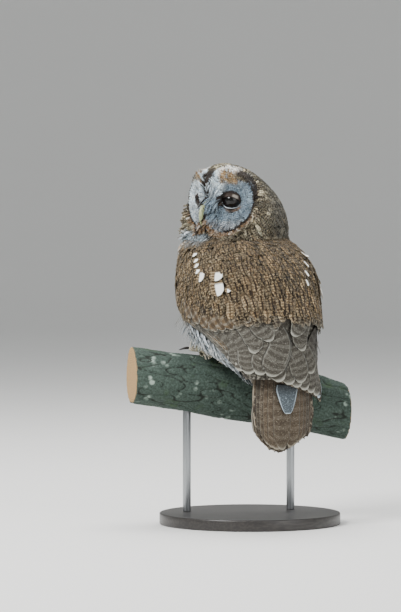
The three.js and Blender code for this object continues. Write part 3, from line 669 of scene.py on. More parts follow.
def markings(points):
    """Ground colour, pale colour and strengths of streak, bars, edge and spot at places on the bird.

    The skin and the feathers over it both take their colours from here.
    """
    tones = bpy.context.scene.owl_plumage
    x, y, z = (points / MM).T
    turn = around_body(points)
    out, up, forward = disc_frame(points).T
    reach, past = disc_reach(out, up)
    local = head_frame(points)
    lead = wing_lead(z)
    fleck = mottle(*(points / (3.3 * MM)).T)

    wing = soft(-4, 4, turn - lead) * soft(342, 330, z)
    outer_wing = wing * soft(56, 38, turn)
    quills = wing * soft(262, 246, z)
    tail = soft(184, 178, z) * soft(60, 68, y)
    breast = soft(5, -5, turn - lead) * soft(-8, -20, turn - 12 * soft(300, 345, z))
    breast = np.maximum(breast, soft(5, -5, turn - lead) * soft(330, 318, z)) * (1 - tail)
    belly = breast * soft(262, 236, z)
    legs = soft(232, 222, z - 0.167 * x) * soft(34, 22, y)
    toes = toe_share(points)

    head = soft(COLLAR - 2, COLLAR + 4, z)
    nape = head * soft(-12, 14, local[:, 1])
    low_nape = nape * soft(392, 376, z)
    front = soft(-16, -8, forward)
    ruff = head * front * soft(-1.0, 0.5, past) * soft(13, 9, past)
    brow = head * front * soft(-2.4, -1.6, past) * soft(1.8, 0.9, past)
    brow *= soft(-20, -8, out) * soft(40, 32, out)
    brow *= soft(12, 22, up) * (1 - soft(14, 24, out) * soft(34, 27, up))
    lower_ruff = ruff * soft(-14, -24, up) * soft(9, 4, past)
    rim = head * front * soft(-2.9, -1.9, past) * soft(1.4, 0.2, past)
    rim *= (soft(-12, -6, out) * soft(30, 24, up) + soft(20, 26, up) * soft(2, 10, out)
            + soft(-18, -22, out) * soft(-6, 4, up))
    disc = head * front * soft(0.5, -1.2, past)
    far_side = disc * soft(1, -1, local[:, 0]) * 0.9
    patch = disc * soft(18, 24, up) * soft(-17, -11, out) * soft(15, 7, out) * soft(-0.9, 0.3, fleck)
    band = disc * soft(-10, -5, past) * soft(19, 25, up) * soft(4, 9, out)
    inner = disc * soft(-4, -13, out) * soft(-2, 8, up)
    under = disc * soft(-24, -30, up)
    socket = disc * soft(16.5, 14.5, reach) * soft(-5, -9, up) * soft(-12, -4, out)
    near = soft(-1, 1, local[:, 0])
    from_lids = np.hypot((out + 2.8) / 15.2, (up - 0.4) / 10.2)
    corner = disc * soft(1.12, 0.94, from_lids) * np.maximum(near, soft(-9, -7, out) * soft(6, 3, out))
    from_parting = np.abs(local[:, 0]) - 2.6 * soft(404, 424, z) - 1.4
    midline = head * soft(-34, -42, local[:, 1]) * soft(1, -0.6, from_parting)
    throat = soft(338, 344, z) * soft(COLLAR + 10, COLLAR + 3, z)
    throat = throat * soft(-18, -34, local[:, 1]) * soft(14, 0, local[:, 0])

    # Each layer covers those before it: share, ground and pale colours, strengths of the marks.
    layers = (
        (np.ones(len(z)), tones.mantle, tones.mantle_buff, (0.95, 0.4, 0.25, 0)),
        (outer_wing, tones.covert, tones.covert_buff, (0.9, 0.4, 0.15, 0)),
        (quills, tones.quill, tones.quill_pale, (0.15, 0.3, 0.5, 0)),
        (breast, tones.breast, tones.breast_pale, (0.9, 0.5, 0.5, 0)),
        (belly, tones.down, tones.breast_pale, (0.5, 0.25, 0.7, 0)),
        (tail, tones.tail, tones.tail_pale, (0.2, 0.3, 0.2, 0)),
        (legs, tones.down, tones.breast_pale, (0.1, 0.3, 0.6, 0)),
        (toes, tones.toe, tones.breast_pale, (0.0, 0.2, 0.2, 0)),
        (head, tones.crown, tones.crown_buff, (0.7, 0.45, 0.3, 0)),
        (nape, tones.nape, tones.nape_pale, (0.4, 0.5, 0.15, 0)),
        (low_nape, tones.nape, tones.nape_pale, (0.5, 0.35, 0.1, 0)),
        (ruff, tones.crown, tones.crown_buff, (0.4, 0.35, 0.2, 0)),
        (lower_ruff, tones.ruff, tones.brow, (0.7, 0.3, 0.1, 0)),
        (disc, tones.disc, tones.disc_pale, (0.12, 0.65, 0.1, 0)),
        (far_side, tones.disc_pale, tones.brow, (0.1, 0.5, 0.1, 0)),
        (inner, tones.disc_pale, tones.breast_pale, (0.0, 0.4, 0.1, 0)),
        (under, tones.disc, tones.breast_pale, (0.5, 0.95, 0.1, 0)),
        (patch, tones.disc_brown, tones.crown_buff, (0.2, 0.7, 0.1, 0)),
        (band, tones.crown, tones.crown_buff, (0.6, 0.3, 0.1, 0)),
        (brow, tones.brow, tones.brow, (0.0, 0.2, 0.1, 0)),
        (0.6 * socket, tones.disc_brown, tones.crown, (0.0, 0.2, 0.0, 0)),
        (corner, tones.rim, tones.rim, (0.0, 0.0, 0.0, 0)),
        (midline, tones.rim, tones.crown, (0.0, 0.3, 0.0, 0)),
        (rim, tones.rim, tones.crown, (0.0, 0.2, 0.0, 0)),
        (throat, tones.throat, tones.breast_pale, (0.2, 0.4, 0.3, 0)),
    )
    ground, pale, marks = (np.zeros((len(z), n)) for n in (3, 3, 4))
    for mask, dark_tone, pale_tone, strengths in layers:
        share = np.clip(mask, 0, 1)[:, None]
        ground += share * (np.array(dark_tone) - ground)
        pale += share * (np.array(pale_tone) - pale)
        marks += share * (np.array(strengths) - marks)

    # Uneven tone: dark streaks down the body, rays round each eye, and flecks on the head and ruff.
    side = np.where(x >= 0, turn, 180 - turn)
    streaks = mottle(side * 1.5 / 4.0, z / 17, 3) + 0.6 * mottle(side * 1.5 / 2.4, z / 6, 7)
    clouds = mottle(*(points / (16 * MM)).T)
    angle = np.degrees(np.arctan2(up, out))
    rays = mottle(angle / 7, reach / 9, 5) + 0.8 * mottle(angle / 24, reach / 2.4, 9)
    flecks = 1.3 * fleck
    uneven = 0.62 * streaks * (1 - head) * (1 - 0.2 * breast) * (1 - 0.5 * quills) * (1 - 0.4 * tail)
    uneven += (0.16 * clouds * (1 - disc) + 0.6 * rays * disc
               + (0.9 * flecks - 0.12) * head * (1 - disc) * (1 - brow))
    tone = np.exp(np.clip(uneven, -1.6, 0.7))[:, None]
    white = soft(0.22, 0.45, fleck) * head * (1 - disc)
    white = white * (1 - 0.8 * midline) * (1 - 0.2 * lower_ruff) * (1 - 0.55 * nape)
    ground = ground * tone
    ground += 0.7 * white[:, None] * (pale - ground)
    return np.clip(ground, 0, 1), np.clip(pale * np.sqrt(tone), 0, 1), marks


def toe_share(points):
    """Share of the toes at places on the bird, from 0 to 1."""
    x, y, z = (points / MM).T
    left, right = (soft(top + 3, top - 1, z) * soft(40, 34, np.hypot(x - middle, y - depth))
                   for middle, depth, top in FEET)
    return np.maximum(left, right)


def coat_depth(points):
    """Depth of the coat over the skin, in metres."""
    sizes = bpy.context.scene.owl_coat
    z = points[:, 2] / MM
    out, up, forward = disc_frame(points).T
    _, past = disc_reach(out, up)
    depth = np.full(len(z), sizes.body_depth)
    for mask, thickness in (
        (soft(226, 206, z), sizes.quill_depth),
        (soft(352, 362, z), sizes.head_depth),
        (soft(352, 356, z) * soft(-14, -6, forward) * soft(3, -3, past), sizes.disc_depth),
        (toe_share(points), sizes.toe_depth),
    ):
        depth += mask * (thickness - depth)
    return depth


def lie_of_coat(points, normals):
    """Unit directions in which the feathers lie along the skin."""
    tail_root = np.array((0.0, 92.0, 60.0)) * MM
    flow = unit(tail_root - points)
    z = points[:, 2:] / MM
    local = head_frame(points)
    bill = from_head(0, -58, 398)
    rear = soft(-30, 25, local[:, 1:2])
    swept = unit(points - bill) + (0.35 + 0.75 * rear) * np.array((0, 0, -1.0))
    head = soft(COLLAR - 6, COLLAR + 6, z)
    flow = flow * (1 - head) + unit(swept) * head
    out, up, forward = disc_frame(points).T
    _, past = disc_reach(out, up)
    side = np.where(local[:, 0] >= 0, 1, -1)
    eyes = np.where(side[:, None] > 0, eye_centre(1), eye_centre(-1))
    round_eye = (head[:, 0] * soft(-16, -6, forward) * soft(16, 6, past))[:, None]
    flow = flow * (1 - round_eye) + unit(points - eyes) * round_eye
    feet = toe_share(points)[:, None]
    ankles = np.stack((np.where(points[:, 0] >= 0, 32, -32) * MM, np.full(len(points), -27 * MM)), 1)
    splayed = np.hstack((points[:, :2] - ankles, np.full((len(points), 1), -12 * MM)))
    flow = flow * (1 - feet) + unit(splayed) * feet
    flow -= normals * np.sum(flow * normals, axis=1, keepdims=True)
    return unit(flow)


def lie_of_bristles(points, normals):
    """Unit directions of the bristles beside the bill: forwards and down over its root."""
    forward = from_head(0, -1, -0.8) - HEAD_CENTRE
    return np.tile(unit(forward), (len(points), 1))


def lie_of_wisps(points, normals):
    """Unit directions of the loose wisps of the flanks: hanging and standing off the body."""
    return unit(lie_of_coat(points, normals) + 1.3 * normals)


def lie_of_fans(points, normals):
    """Unit directions of the pale fans between the eyes: standing off the face and spreading upwards."""
    spread = unit(points - from_head(0, -50, 388))
    return unit(spread + 1.1 * normals)


# ---- Feathers ----


@dataclass
class Guide:
    """The skin as triangles, for roots and for laying feathers along it."""

    tree: BVHTree
    corners: np.ndarray
    corner_normals: np.ndarray
    areas: np.ndarray
    patches: np.ndarray
    parts: np.ndarray


@lru_cache(maxsize=None)
def flesh_tree(*names):
    """Some fleshy nodes as one tree of triangles, and the node of each triangle."""
    places, corners, owners = [], [], []
    for name in names:
        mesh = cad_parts[name].data
        mesh.calc_loop_triangles()
        start = len(places)
        places += [vertex.co[:] for vertex in mesh.vertices]
        corners += [[start + i for i in triangle.vertices] for triangle in mesh.loop_triangles]
        owners += [name] * len(mesh.loop_triangles)
    return BVHTree.FromPolygons(places, corners, all_triangles=True), np.array(owners)


def part_of(points):
    """The name of the fleshy node nearest to each place."""
    tree, owners = flesh_tree(*FLESH)
    return owners[[tree.find_nearest(point)[2] for point in points.tolist()]]


@lru_cache(maxsize=None)
def skin_guide():
    """The finished skin as a guide; places on the lids and other bare skin get no feathers."""
    mesh = bpy.data.objects["owl_skin"].data
    mesh.calc_loop_triangles()
    count = len(mesh.loop_triangles)
    places, loops = np.empty(count * 3, dtype=np.int32), np.empty(count * 3, dtype=np.int32)
    mesh.loop_triangles.foreach_get("vertices", places)
    mesh.loop_triangles.foreach_get("loops", loops)
    patches = np.empty(len(mesh.loops) * 2)
    mesh.uv_layers["OFBake"].uv.foreach_get("vector", patches)
    bare = np.empty(len(mesh.vertices))
    mesh.attributes["Bare"].data.foreach_get("value", bare)
    points, normals = coordinates(mesh), normals_of(mesh)
    corners = places.reshape(-1, 3)
    tree = BVHTree.FromPolygons(points.tolist(), corners.tolist(), all_triangles=True)
    a, b, c = (points[corners[:, i]] for i in range(3))
    areas = np.linalg.norm(np.cross(b - a, c - a), axis=1) / 2
    areas *= bare[corners].max(axis=1) < 0.5
    parts = part_of(points[corners].mean(axis=1))
    patches = patches.reshape(-1, 2)[loops.reshape(-1, 3)]
    return Guide(tree, points[corners], normals[corners], areas, patches, parts)


def on_skin(points, guide):
    """The nearest places on the skin and the skin's smooth normals there."""
    places, normals = np.empty_like(points), np.empty_like(points)
    means = unit(guide.corner_normals.mean(axis=1))
    for i, point in enumerate(points.tolist()):
        place, _, index, _ = guide.tree.find_nearest(point)
        places[i] = place
        normals[i] = means[index]
    return places, normals


class Here:
    """Readings at places on the skin, in mm and degrees."""

    def __init__(self, points, parts, normals):
        self.part = parts
        self.x, self.y, self.z = (points / MM).T
        self.out, self.up, self.forward = disc_frame(points).T
        self.reach, self.past_disc = disc_reach(self.out, self.up)
        self.head_x, self.head_y, _ = head_frame(points).T
        self.turn = around_body(points)
        self.past_lead = self.turn - wing_lead(self.z)
        radial = unit(np.stack((self.x, self.y - axis_middle(self.z), np.zeros(len(points))), 1))
        self.outward = np.sum(radial * normals, axis=1)
        self.in_disc = (self.z > COLLAR + 4) & (self.forward > -9) & (self.past_disc < -0.5)

    def on(self, *names):
        return np.isin(self.part, names)


def scattered(guide, wanted, spacing, rng):
    """Roots spread over the skin where wanted is set, at least their spacing (mm) apart."""
    centres = guide.corners.mean(axis=1)
    here = Here(centres, guide.parts, unit(guide.corner_normals.mean(axis=1)))
    weights = guide.areas / MM**2 * wanted(here) / spacing(here) ** 2
    total = weights.sum()
    crowding = 4.5  # candidates for each root that would fit
    picks = rng.choice(len(weights), size=int(total * crowding), p=weights / total)
    shares = rng.random((len(picks), 2))
    root = np.sqrt(shares[:, :1])
    bary = np.hstack((1 - root, root * (1 - shares[:, 1:]), root * shares[:, 1:]))
    points = np.einsum("ij,ijk->ik", bary, guide.corners[picks])
    normals = unit(np.einsum("ij,ijk->ik", bary, guide.corner_normals[picks]))
    own = spacing(Here(points, guide.parts[picks], normals)) * MM
    cell = own.max()
    taken, kept = {}, []
    for i, (point, key) in enumerate(zip(points, np.floor(points / cell).astype(int).tolist())):
        near = [
            j
            for dx in (-1, 0, 1)
            for dy in (-1, 0, 1)
            for dz in (-1, 0, 1)
            for j in taken.get((key[0] + dx, key[1] + dy, key[2] + dz), ())
        ]
        if near and np.min(np.sum((points[near] - point) ** 2, axis=1)) < own[i] ** 2:
            continue
        taken.setdefault(tuple(key), []).append(i)
        kept.append(i)
    patches = np.einsum("ij,ijk->ik", bary[kept], guide.patches[picks[kept]])
    return points[kept], normals[kept], patches, guide.parts[picks[kept]]


@dataclass
class Feathers:
    """Like feathers, one row each: place, lie, sizes in metres, colours and the strengths of their marks."""

    roots: np.ndarray
    normals: np.ndarray
    lies: np.ndarray
    lengths: np.ndarray
    widths: np.ndarray
    lifts: np.ndarray
    ground: np.ndarray
    pale: np.ndarray
    marks: np.ndarray


# Outlines of a vane: share of its length and of its half width at each ring between root and tip.
ROUND_VANE = ((0.1, 0.3), (0.3, 0.66), (0.52, 0.92), (0.72, 1.0), (0.87, 0.82), (0.96, 0.48))
SMALL_VANE = ((0.18, 0.5), (0.5, 0.95), (0.78, 0.95), (0.94, 0.5))
NARROW_VANE = ((0.2, 0.7), (0.6, 1.0), (0.9, 0.55))
LOOSE_VANE = ((0.12, 0.4), (0.34, 0.9), (0.55, 0.75), (0.72, 1.0), (0.85, 0.5), (0.93, 0.62))


def varied_colours(points, rng):
    """Colours and marks at places, each with a little change from one feather to the next."""
    ground, pale, marks = markings(points)
    count = len(ground)
    tone = 1 + rng.normal(0, 0.12, (count, 1))
    warmth = rng.normal(0, 0.03, (count, 1)) * np.array((1.0, 0.0, -1.0))
    ground = np.clip(ground * (tone + warmth), 0, 1)
    pale = np.clip(pale * (1 + rng.normal(0, 0.08, (count, 1)) + warmth), 0, 1)
    return ground, pale, np.clip(marks * (1 + rng.normal(0, 0.16, marks.shape)), 0, 1)


def closed_vanes(feathers, outline, guide, rng, curl, ragged, camber=0.1):
    """Points, faces and vane map of thin closed vanes, each rising from its root and lying along the skin."""
    count = len(feathers.roots)
    size = feathers.lengths[:, None]
    stations = np.array([0.0, *(t for t, _ in outline), 1.0])
    laid, leans = [feathers.roots], [feathers.normals]
    for share in (0.5, 1.0):
        points = feathers.roots + feathers.lies * size * share
        places, normals = on_skin(points, guide)
        pull = places - points
        far = np.linalg.norm(pull, axis=1, keepdims=True)
        pull *= np.minimum(1, 0.32 * share * size / np.maximum(far, 1e-9))
        turned = np.sum(normals * feathers.normals, axis=1, keepdims=True) < 0.35
        laid.append(points + pull)
        leans.append(np.where(turned, feathers.normals, normals))
    # The middle of a vane is a parabola through its root, its half way and its tip.
    weights = np.stack(((1 - stations) * (1 - 2 * stations), 4 * stations * (1 - stations),
                        stations * (2 * stations - 1)))
    middle = np.einsum("kt,knc->ntc", weights, np.stack(laid))
    up = unit(np.einsum("kt,knc->ntc", weights, np.stack(leans)))
    rise = 1 - (1 - stations) ** 2 + curl * stations**3
    middle = middle + up * (feathers.lifts[:, None] * rise)[..., None]
    along = unit(np.gradient(middle, stations, axis=1))
    across = unit(np.cross(up, along))
    up = np.cross(along, across)
    roll = rng.normal(0, 0.06, (count, 1, 1))
    across, up = across * np.cos(roll) + up * np.sin(roll), up * np.cos(roll) - across * np.sin(roll)

    shares = np.array([w for _, w in outline])
    half = 0.5 * feathers.widths[:, None, None]
    edges = [(shares * (1 + rng.normal(0, ragged, (count, len(shares)))))[..., None] * half for _ in (0, 1)]
    ring_middle, ring_up, ring_across = (a[:, 1:-1] for a in (middle, up, across))
    thickness = np.minimum(0.5 * MM, 0.12 * feathers.widths)[:, None, None]
    rings = np.stack((
        ring_middle + ring_across * edges[0] - ring_up * camber * edges[0],
        ring_middle + ring_up * thickness * 0.4,
        ring_middle - ring_across * edges[1] - ring_up * camber * edges[1],
        ring_middle - ring_up * thickness * 0.6,
    ), axis=2)
    points = np.concatenate((middle[:, :1], rings.reshape(count, -1, 3), middle[:, -1:]), axis=1)
    last = points.shape[1] - 1
    ring = [[1 + 4 * r + i for i in range(4)] for r in range(len(shares))]
    faces = [(0, ring[0][i], ring[0][(i + 1) % 4]) for i in range(4)]
    faces += [(last, ring[-1][(i + 1) % 4], ring[-1][i]) for i in range(4)]
    for low, high in zip(ring, ring[1:]):
        faces += [(low[i], high[i], high[(i + 1) % 4], low[(i + 1) % 4]) for i in range(4)]
    on_rings = [(u, t) for t, _ in outline for u in (0.0, 0.5, 1.0, 0.5)]
    return points, faces, np.array([(0.5, 0.0), *on_rings, (0.5, 1.0)])


def vane_mesh(name, points, faces, vane_map, feathers, bake, rng):
    """A joined mesh of equal vanes: points by vane, one face list, and the maps and colours of each vane.

    bake gives each vane's corner and size on the map named OFBake.
    """
    count, per = points.shape[:2]
    first = points[0]
    volume = sum(np.dot(first[f[0]], np.cross(first[f[i]], first[f[i + 1]]))
                 for f in faces for i in range(1, len(f) - 1))
    if volume < 0:  # the faces point inwards
        faces = [f[::-1] for f in faces]
    flat = np.array([i for f in faces for i in f])
    mesh = bpy.data.meshes.new(name)
    mesh.vertices.add(count * per)
    mesh.vertices.foreach_set("co", points.astype(np.float32).ravel())
    corners = (flat[None, :] + per * np.arange(count)[:, None]).ravel()
    mesh.loops.add(len(corners))
    mesh.loops.foreach_set("vertex_index", corners.astype(np.int32))
    totals = np.tile([len(f) for f in faces], count)
    mesh.polygons.add(len(totals))
    mesh.polygons.foreach_set("loop_start", np.concatenate(([0], np.cumsum(totals)[:-1])).astype(np.int32))
    mesh.polygons.foreach_set("use_smooth", np.ones(len(totals), dtype=bool))
    mesh.update(calc_edges=True)

    uv = vane_map[flat][None, :, :]
    scale = np.stack((feathers.widths, feathers.lengths), 1)[:, None, :] / MM
    shift = rng.random((count, 1, 2)) * 400
    corner, extent = bake
    for layer_name, values in (
        ("OFBake", corner[:, None, :] + uv * extent),
        ("Vane", np.broadcast_to(uv, (count, len(flat), 2))),
        ("VaneSize", uv * scale + shift),
    ):
        layer = mesh.uv_layers.new(name=layer_name)
        layer.uv.foreach_set("vector", np.ascontiguousarray(values, dtype=np.float32).ravel())
    colours = {"Ground": feathers.ground, "Pale": feathers.pale, "Marks": feathers.marks}
    for colour_name, values in colours.items():
        set_colour(mesh, colour_name, np.repeat(values, per, axis=0))
    return mesh


PATCH = 0.003  # size of a feather's patch on the map for its colours


def coat_piece(name, wanted, sizes, outline, material, seed, curl=0.0, disorder=0.09, ragged=0.1,
               lie=lie_of_coat):
    """Scatters one tract of feathers over the skin; sizes gives spacing, length, width and lift in mm.

    Curl turns the tips up, disorder swings the feathers and ragged makes their edges uneven.
    """
    guide = skin_guide()
    rng = np.random.default_rng(seed)
    roots, normals, patches, parts = scattered(guide, wanted, lambda here: sizes(here)[0], rng)
    _, long, wide, lift = sizes(Here(roots, parts, normals))
    lies = lie(roots, normals)
    swing = rng.normal(0, disorder, (len(roots), 1))
    lies = unit(lies * np.cos(swing) + np.cross(normals, lies) * np.sin(swing))
    vary = 1 + rng.normal(0, 0.07, (3, len(roots)))
    long = long * MM * vary[0]
    colours = varied_colours(roots + lies * (0.72 * long[:, None]), rng)
    feathers = Feathers(roots, normals, lies, long, wide * MM * vary[1], lift * MM * vary[2], *colours)
    points, faces, vane_map = closed_vanes(feathers, outline, guide, rng, curl, ragged)
    mesh = vane_mesh(name, points, faces, vane_map, feathers, (patches - PATCH / 2, PATCH), rng)
    return new_piece(name, mesh, material)


def by_share(share, low, high):
    """Sizes between two rows of (spacing, length, width, lift), by a share at each place."""
    return [a + (b - a) * share for a, b in zip(low, high)]


def equal_sizes(here, row):
    """The same row of (spacing, length, width, lift) everywhere."""
    return [np.full(len(here.z), size) for size in row]


# ---- Long feathers ----


@dataclass
class Quill:
    """One long feather on the body, from its root to its tip.

    Onto is "left" or "right" for a wing, where places are degrees past the wing's leading edge and a level,
    or "back" or "front" for the tail, where they are X and a level. Sizes are in mm. Lifts are the heights
    of its root and tip over the solid that it is laid on, tilt lifts the edge that looks outwards, and bow
    bends it sideways. Marks and tones take the place of those of the coat round it.
    """

    onto: str
    root: tuple
    tip: tuple
    width: float
    lifts: tuple
    tilt: float = 0.8
    bow: float = 0.0
    shape: str = "round"
    marks: tuple = None
    tones: tuple = None


STATIONS = 18  # rows of points along a long feather
COLUMNS = np.array((-1, -0.82, -0.5, -0.2, -0.05, 0.05, 0.2, 0.5, 0.82, 1))  # and across it
OVER = 15 * MM  # height over a long feather from which it looks down for the solid under it

# Shares of a long feather's length, its width at each, and how far its corners are rounded off.
SHAPES = {
    "round": ((0, 0.12, 0.4, 0.75, 0.92, 1), (0.25, 0.5, 0.95, 1, 0.9, 0.68), 0.16),
    "broad": ((0, 0.5, 0.92, 1), (0.92, 1, 0.92, 0.62), 0.16),
    "pointed": ((0, 0.2, 0.55, 0.8, 0.95, 1), (0.9, 1, 0.74, 0.5, 0.3, 0.16), 0.0),
}


def quill_ray(quill, share):
    """Start and direction of a ray that meets the body at a share of the way along a long feather."""
    place, level = np.array(quill.root) * (1 - share) + np.array(quill.tip) * share
    place += quill.bow * 4 * share * (1 - share)
    if quill.onto in SIDES:
        turn = math.radians(wing_lead(level) + place)
        way = np.array((SIDES[quill.onto] * math.cos(turn), math.sin(turn), 0.0))
        start = np.array((0, axis_middle(level), level)) * MM
    else:
        way = np.array((0.0, 1.0 if quill.onto == "back" else -1.0, 0.0))
        start = np.array((place, 0, level)) * MM
    return start + 0.2 * way, -way


def eased(rows, times):
    """Rows smoothed along their first axis."""
    for _ in range(times):
        padded = np.concatenate((rows[:1], rows, rows[-1:]))
        rows = (padded[:-2] + 2 * padded[1:-1] + padded[2:]) / 4
    return rows


def laid_quill(quill, tree):
    """Points of one long feather: a grid for its upper face and one for the inside of its lower face."""
    shares = np.linspace(0, 1, STATIONS)
    middle, facing = [], []
    for share in shares:
        start, way = quill_ray(quill, share)
        place, normal, _, _ = tree.ray_cast(start.tolist(), way.tolist())
        if place is None:
            depth = np.dot(middle[-1] - start, way) if middle else 0.12
            place, normal, _, _ = tree.find_nearest((start + way * depth).tolist())
        middle.append(np.array(place))
        facing.append(np.array(normal))
    # The shaft lies along the solid, with its bumps eased.
    middle = eased(np.array(middle), 4)
    facing = unit(eased(np.array(facing), 8))
    along = unit(np.gradient(middle, axis=0))
    across = unit(np.cross(facing, along))
    up = np.cross(along, across)
    steps, widths, rounding = SHAPES[quill.shape]
    half = quill.width / 2 * MM * np.interp(shares, steps, widths)
    grid, rises = [], np.full((STATIONS, len(COLUMNS)), np.nan)
    for j, s in enumerate(COLUMNS):
        at = shares * (1 - rounding * abs(s) ** 2.4 * shares**4)
        spine, side, top = (np.stack([np.interp(at, shares, a[:, k]) for k in range(3)], 1)
                            for a in (middle, across, up))
        flat = spine + side * (s * half)[:, None]
        grid.append(flat)
        for i, (point, way) in enumerate(zip(flat, top)):
            _, _, _, far = tree.ray_cast((point + OVER * way).tolist(), (-way).tolist(), 2 * OVER)
            if far is not None:
                rises[i, j] = OVER - far
    # Where a column runs off the solid or over a step, it goes on from the column inside it.
    step = 2.5 * MM
    for j in sorted(range(len(COLUMNS)), key=lambda j: abs(COLUMNS[j])):
        inner = j + 1 if COLUMNS[j] < 0 else j - 1
        base = np.zeros(STATIONS) if abs(COLUMNS[j]) < 0.1 else rises[:, inner]
        lost = np.isnan(rises[:, j]) | (np.abs(rises[:, j] - base) > step)
        rises[lost, j] = base[lost] - 0.3 * MM
    rises = eased(rises, 3)
    outer = -SIDES.get(quill.onto, 0)
    ridge = np.where(np.abs(COLUMNS) < 0.1, 0.3, 0.0)  # the shaft stands up a little
    heights = (quill.lifts[0] + (quill.lifts[1] - quill.lifts[0]) * shares[:, None]
               + quill.tilt * outer * COLUMNS[None, :] + ridge) * MM
    tops = np.stack(grid, 1) + up[:, None, :] * (rises + heights)[..., None]
    thick = 0.3 * MM * (1 - COLUMNS**4)[None, :, None]  # half the vane's thickness, thinner at its edges
    upper = tops + up[:, None, :] * thick
    lower = (tops - up[:, None, :] * thick)[:, 1:-1]
    return np.concatenate((upper.reshape(-1, 3), lower.reshape(-1, 3)))


def quill_faces():
    """Faces of one long feather: upper and lower face joined along the edges and closed at both ends."""
    wide = len(COLUMNS)

    def top(i, j):
        return i * wide + j

    def under(i, j):
        return top(i, j) if j in (0, wide - 1) else STATIONS * wide + i * (wide - 2) + j - 1

    faces = []
    for i in range(STATIONS - 1):
        for j in range(wide - 1):
            faces.append((top(i, j), top(i, j + 1), top(i + 1, j + 1), top(i + 1, j)))
            faces.append((under(i, j), under(i + 1, j), under(i + 1, j + 1), under(i, j + 1)))
    for i, flip in ((0, 1), (STATIONS - 1, -1)):
        for j in range(wide - 1):
            ring = (top(i, j), under(i, j), under(i, j + 1), top(i, j + 1))
            ring = tuple(dict.fromkeys(ring))
            faces.append(ring[::flip])
    return faces


def quill_piece(name, quills, nodes, material, seed):
    """Joins long feathers laid over some nodes; each has a cell of its own on the map for its colours."""
    tree, _ = flesh_tree(*nodes)
    rng = np.random.default_rng(seed)
    points = np.stack([laid_quill(quill, tree) for quill in quills])
    wide = len(COLUMNS)
    spines = points[:, : STATIONS * wide].reshape(len(quills), STATIONS, wide, 3)[:, :, wide // 2]
    ground, pale, marks = varied_colours(spines[:, -4], rng)
    for i, quill in enumerate(quills):
        if quill.marks:
            marks[i] = quill.marks
        if quill.tones:
            ground[i], pale[i] = quill.tones
    lengths = np.linalg.norm(np.diff(spines, axis=1), axis=2).sum(axis=1)
    widths = np.array([quill.width * MM for quill in quills])
    feathers = Feathers(spines[:, 0], None, None, lengths, widths, None, ground, pale, marks)
    rows = [(0.5 + s / 2, t) for t in np.linspace(0, 1, STATIONS) for s in COLUMNS]
    rows += [(0.5 + s / 2, t) for t in np.linspace(0, 1, STATIONS) for s in COLUMNS[1:-1]]
    cells = math.ceil(math.sqrt(len(quills)))
    corner = np.array([(k % cells, k // cells) for k in range(len(quills))]) / cells + 0.04 / cells
    mesh = vane_mesh(name, points, quill_faces(), np.array(rows), feathers, (corner, 0.92 / cells), rng)
    return new_piece(name, mesh, material)


# ---- Operators ----


class OWL_OT_skin(bpy.types.Operator):
    """Fuses the fleshy nodes into one skin inside the coat, with lids and its own unwrap"""

    bl_idname = "owl.skin"
    bl_label = "Skin"

    def execute(self, context):
        sizes = context.scene.owl_coat
        fused = merged_copy("owl_skin", (*FLESH, "eye_left", "eye_right"))
        fused = modified(fused, ("REMESH", {"mode": "VOXEL", "voxel_size": sizes.voxel}))
        drop_crumbs(fused)
        rough = coordinates(fused)
        fused = modified(fused, ("SMOOTH", {"factor": 0.5, "iterations": 9}))
        points = coordinates(fused)
        # Smoothing would wear away the toes and the thin end of the tail, so they keep their shape.
        thin = np.maximum(toe_share(rough), soft(204, 188, rough[:, 2] / MM))[:, None]
        points += thin * (rough - points)
        points -= normals_of(fused) * coat_depth(points)[:, None]
        fused.vertices.foreach_set("co", points.ravel())
        fused = modified(fused, ("SMOOTH", {"factor": 0.5, "iterations": 2}))
        fused.vertices.foreach_set("co", (coordinates(fused) * (1 - thin) + points * thin).ravel())
        covered = len(fused.vertices)
        shape = bmesh.new()
        shape.from_mesh(fused)
        for side in SIDES.values():
            add_lids(shape, side, context.scene.owl_head)
        shape.to_mesh(fused)
        shape.free()
        points = coordinates(fused)
        ground, pale, _ = markings(points)
        bare = np.zeros(len(points))
        lids, lid_share = lid_colours(points[covered:], context.scene.owl_head)
        bare[covered:] = lid_share
        ground[covered:] = lids
        set_colour(fused, "Ground", ground)
        set_colour(fused, "Pale", pale)
        set_number(fused, "Bare", bare)
        smooth_shaded(fused)
        piece = new_piece("owl_skin", fused, skin_material())
        unwrap(piece)
        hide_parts(*FLESH)
        return {"FINISHED"}


def drop_crumbs(mesh):
    """Removes the loose crumbs that remeshing can leave beside a thin edge."""
    fewest = 400  # points of an island that is kept
    shape = bmesh.new()
    shape.from_mesh(mesh)
    left = set(shape.verts)
    crumbs = []
    while left:
        front = [left.pop()]
        island = list(front)
        while front:
            vertex = front.pop()
            for edge in vertex.link_edges:
                other = edge.other_vert(vertex)
                if other in left:
                    left.discard(other)
                    front.append(other)
                    island.append(other)
        if len(island) < fewest:
            crumbs += island
    bmesh.ops.delete(shape, geom=crumbs, context="VERTS")
    shape.to_mesh(mesh)
    shape.free()


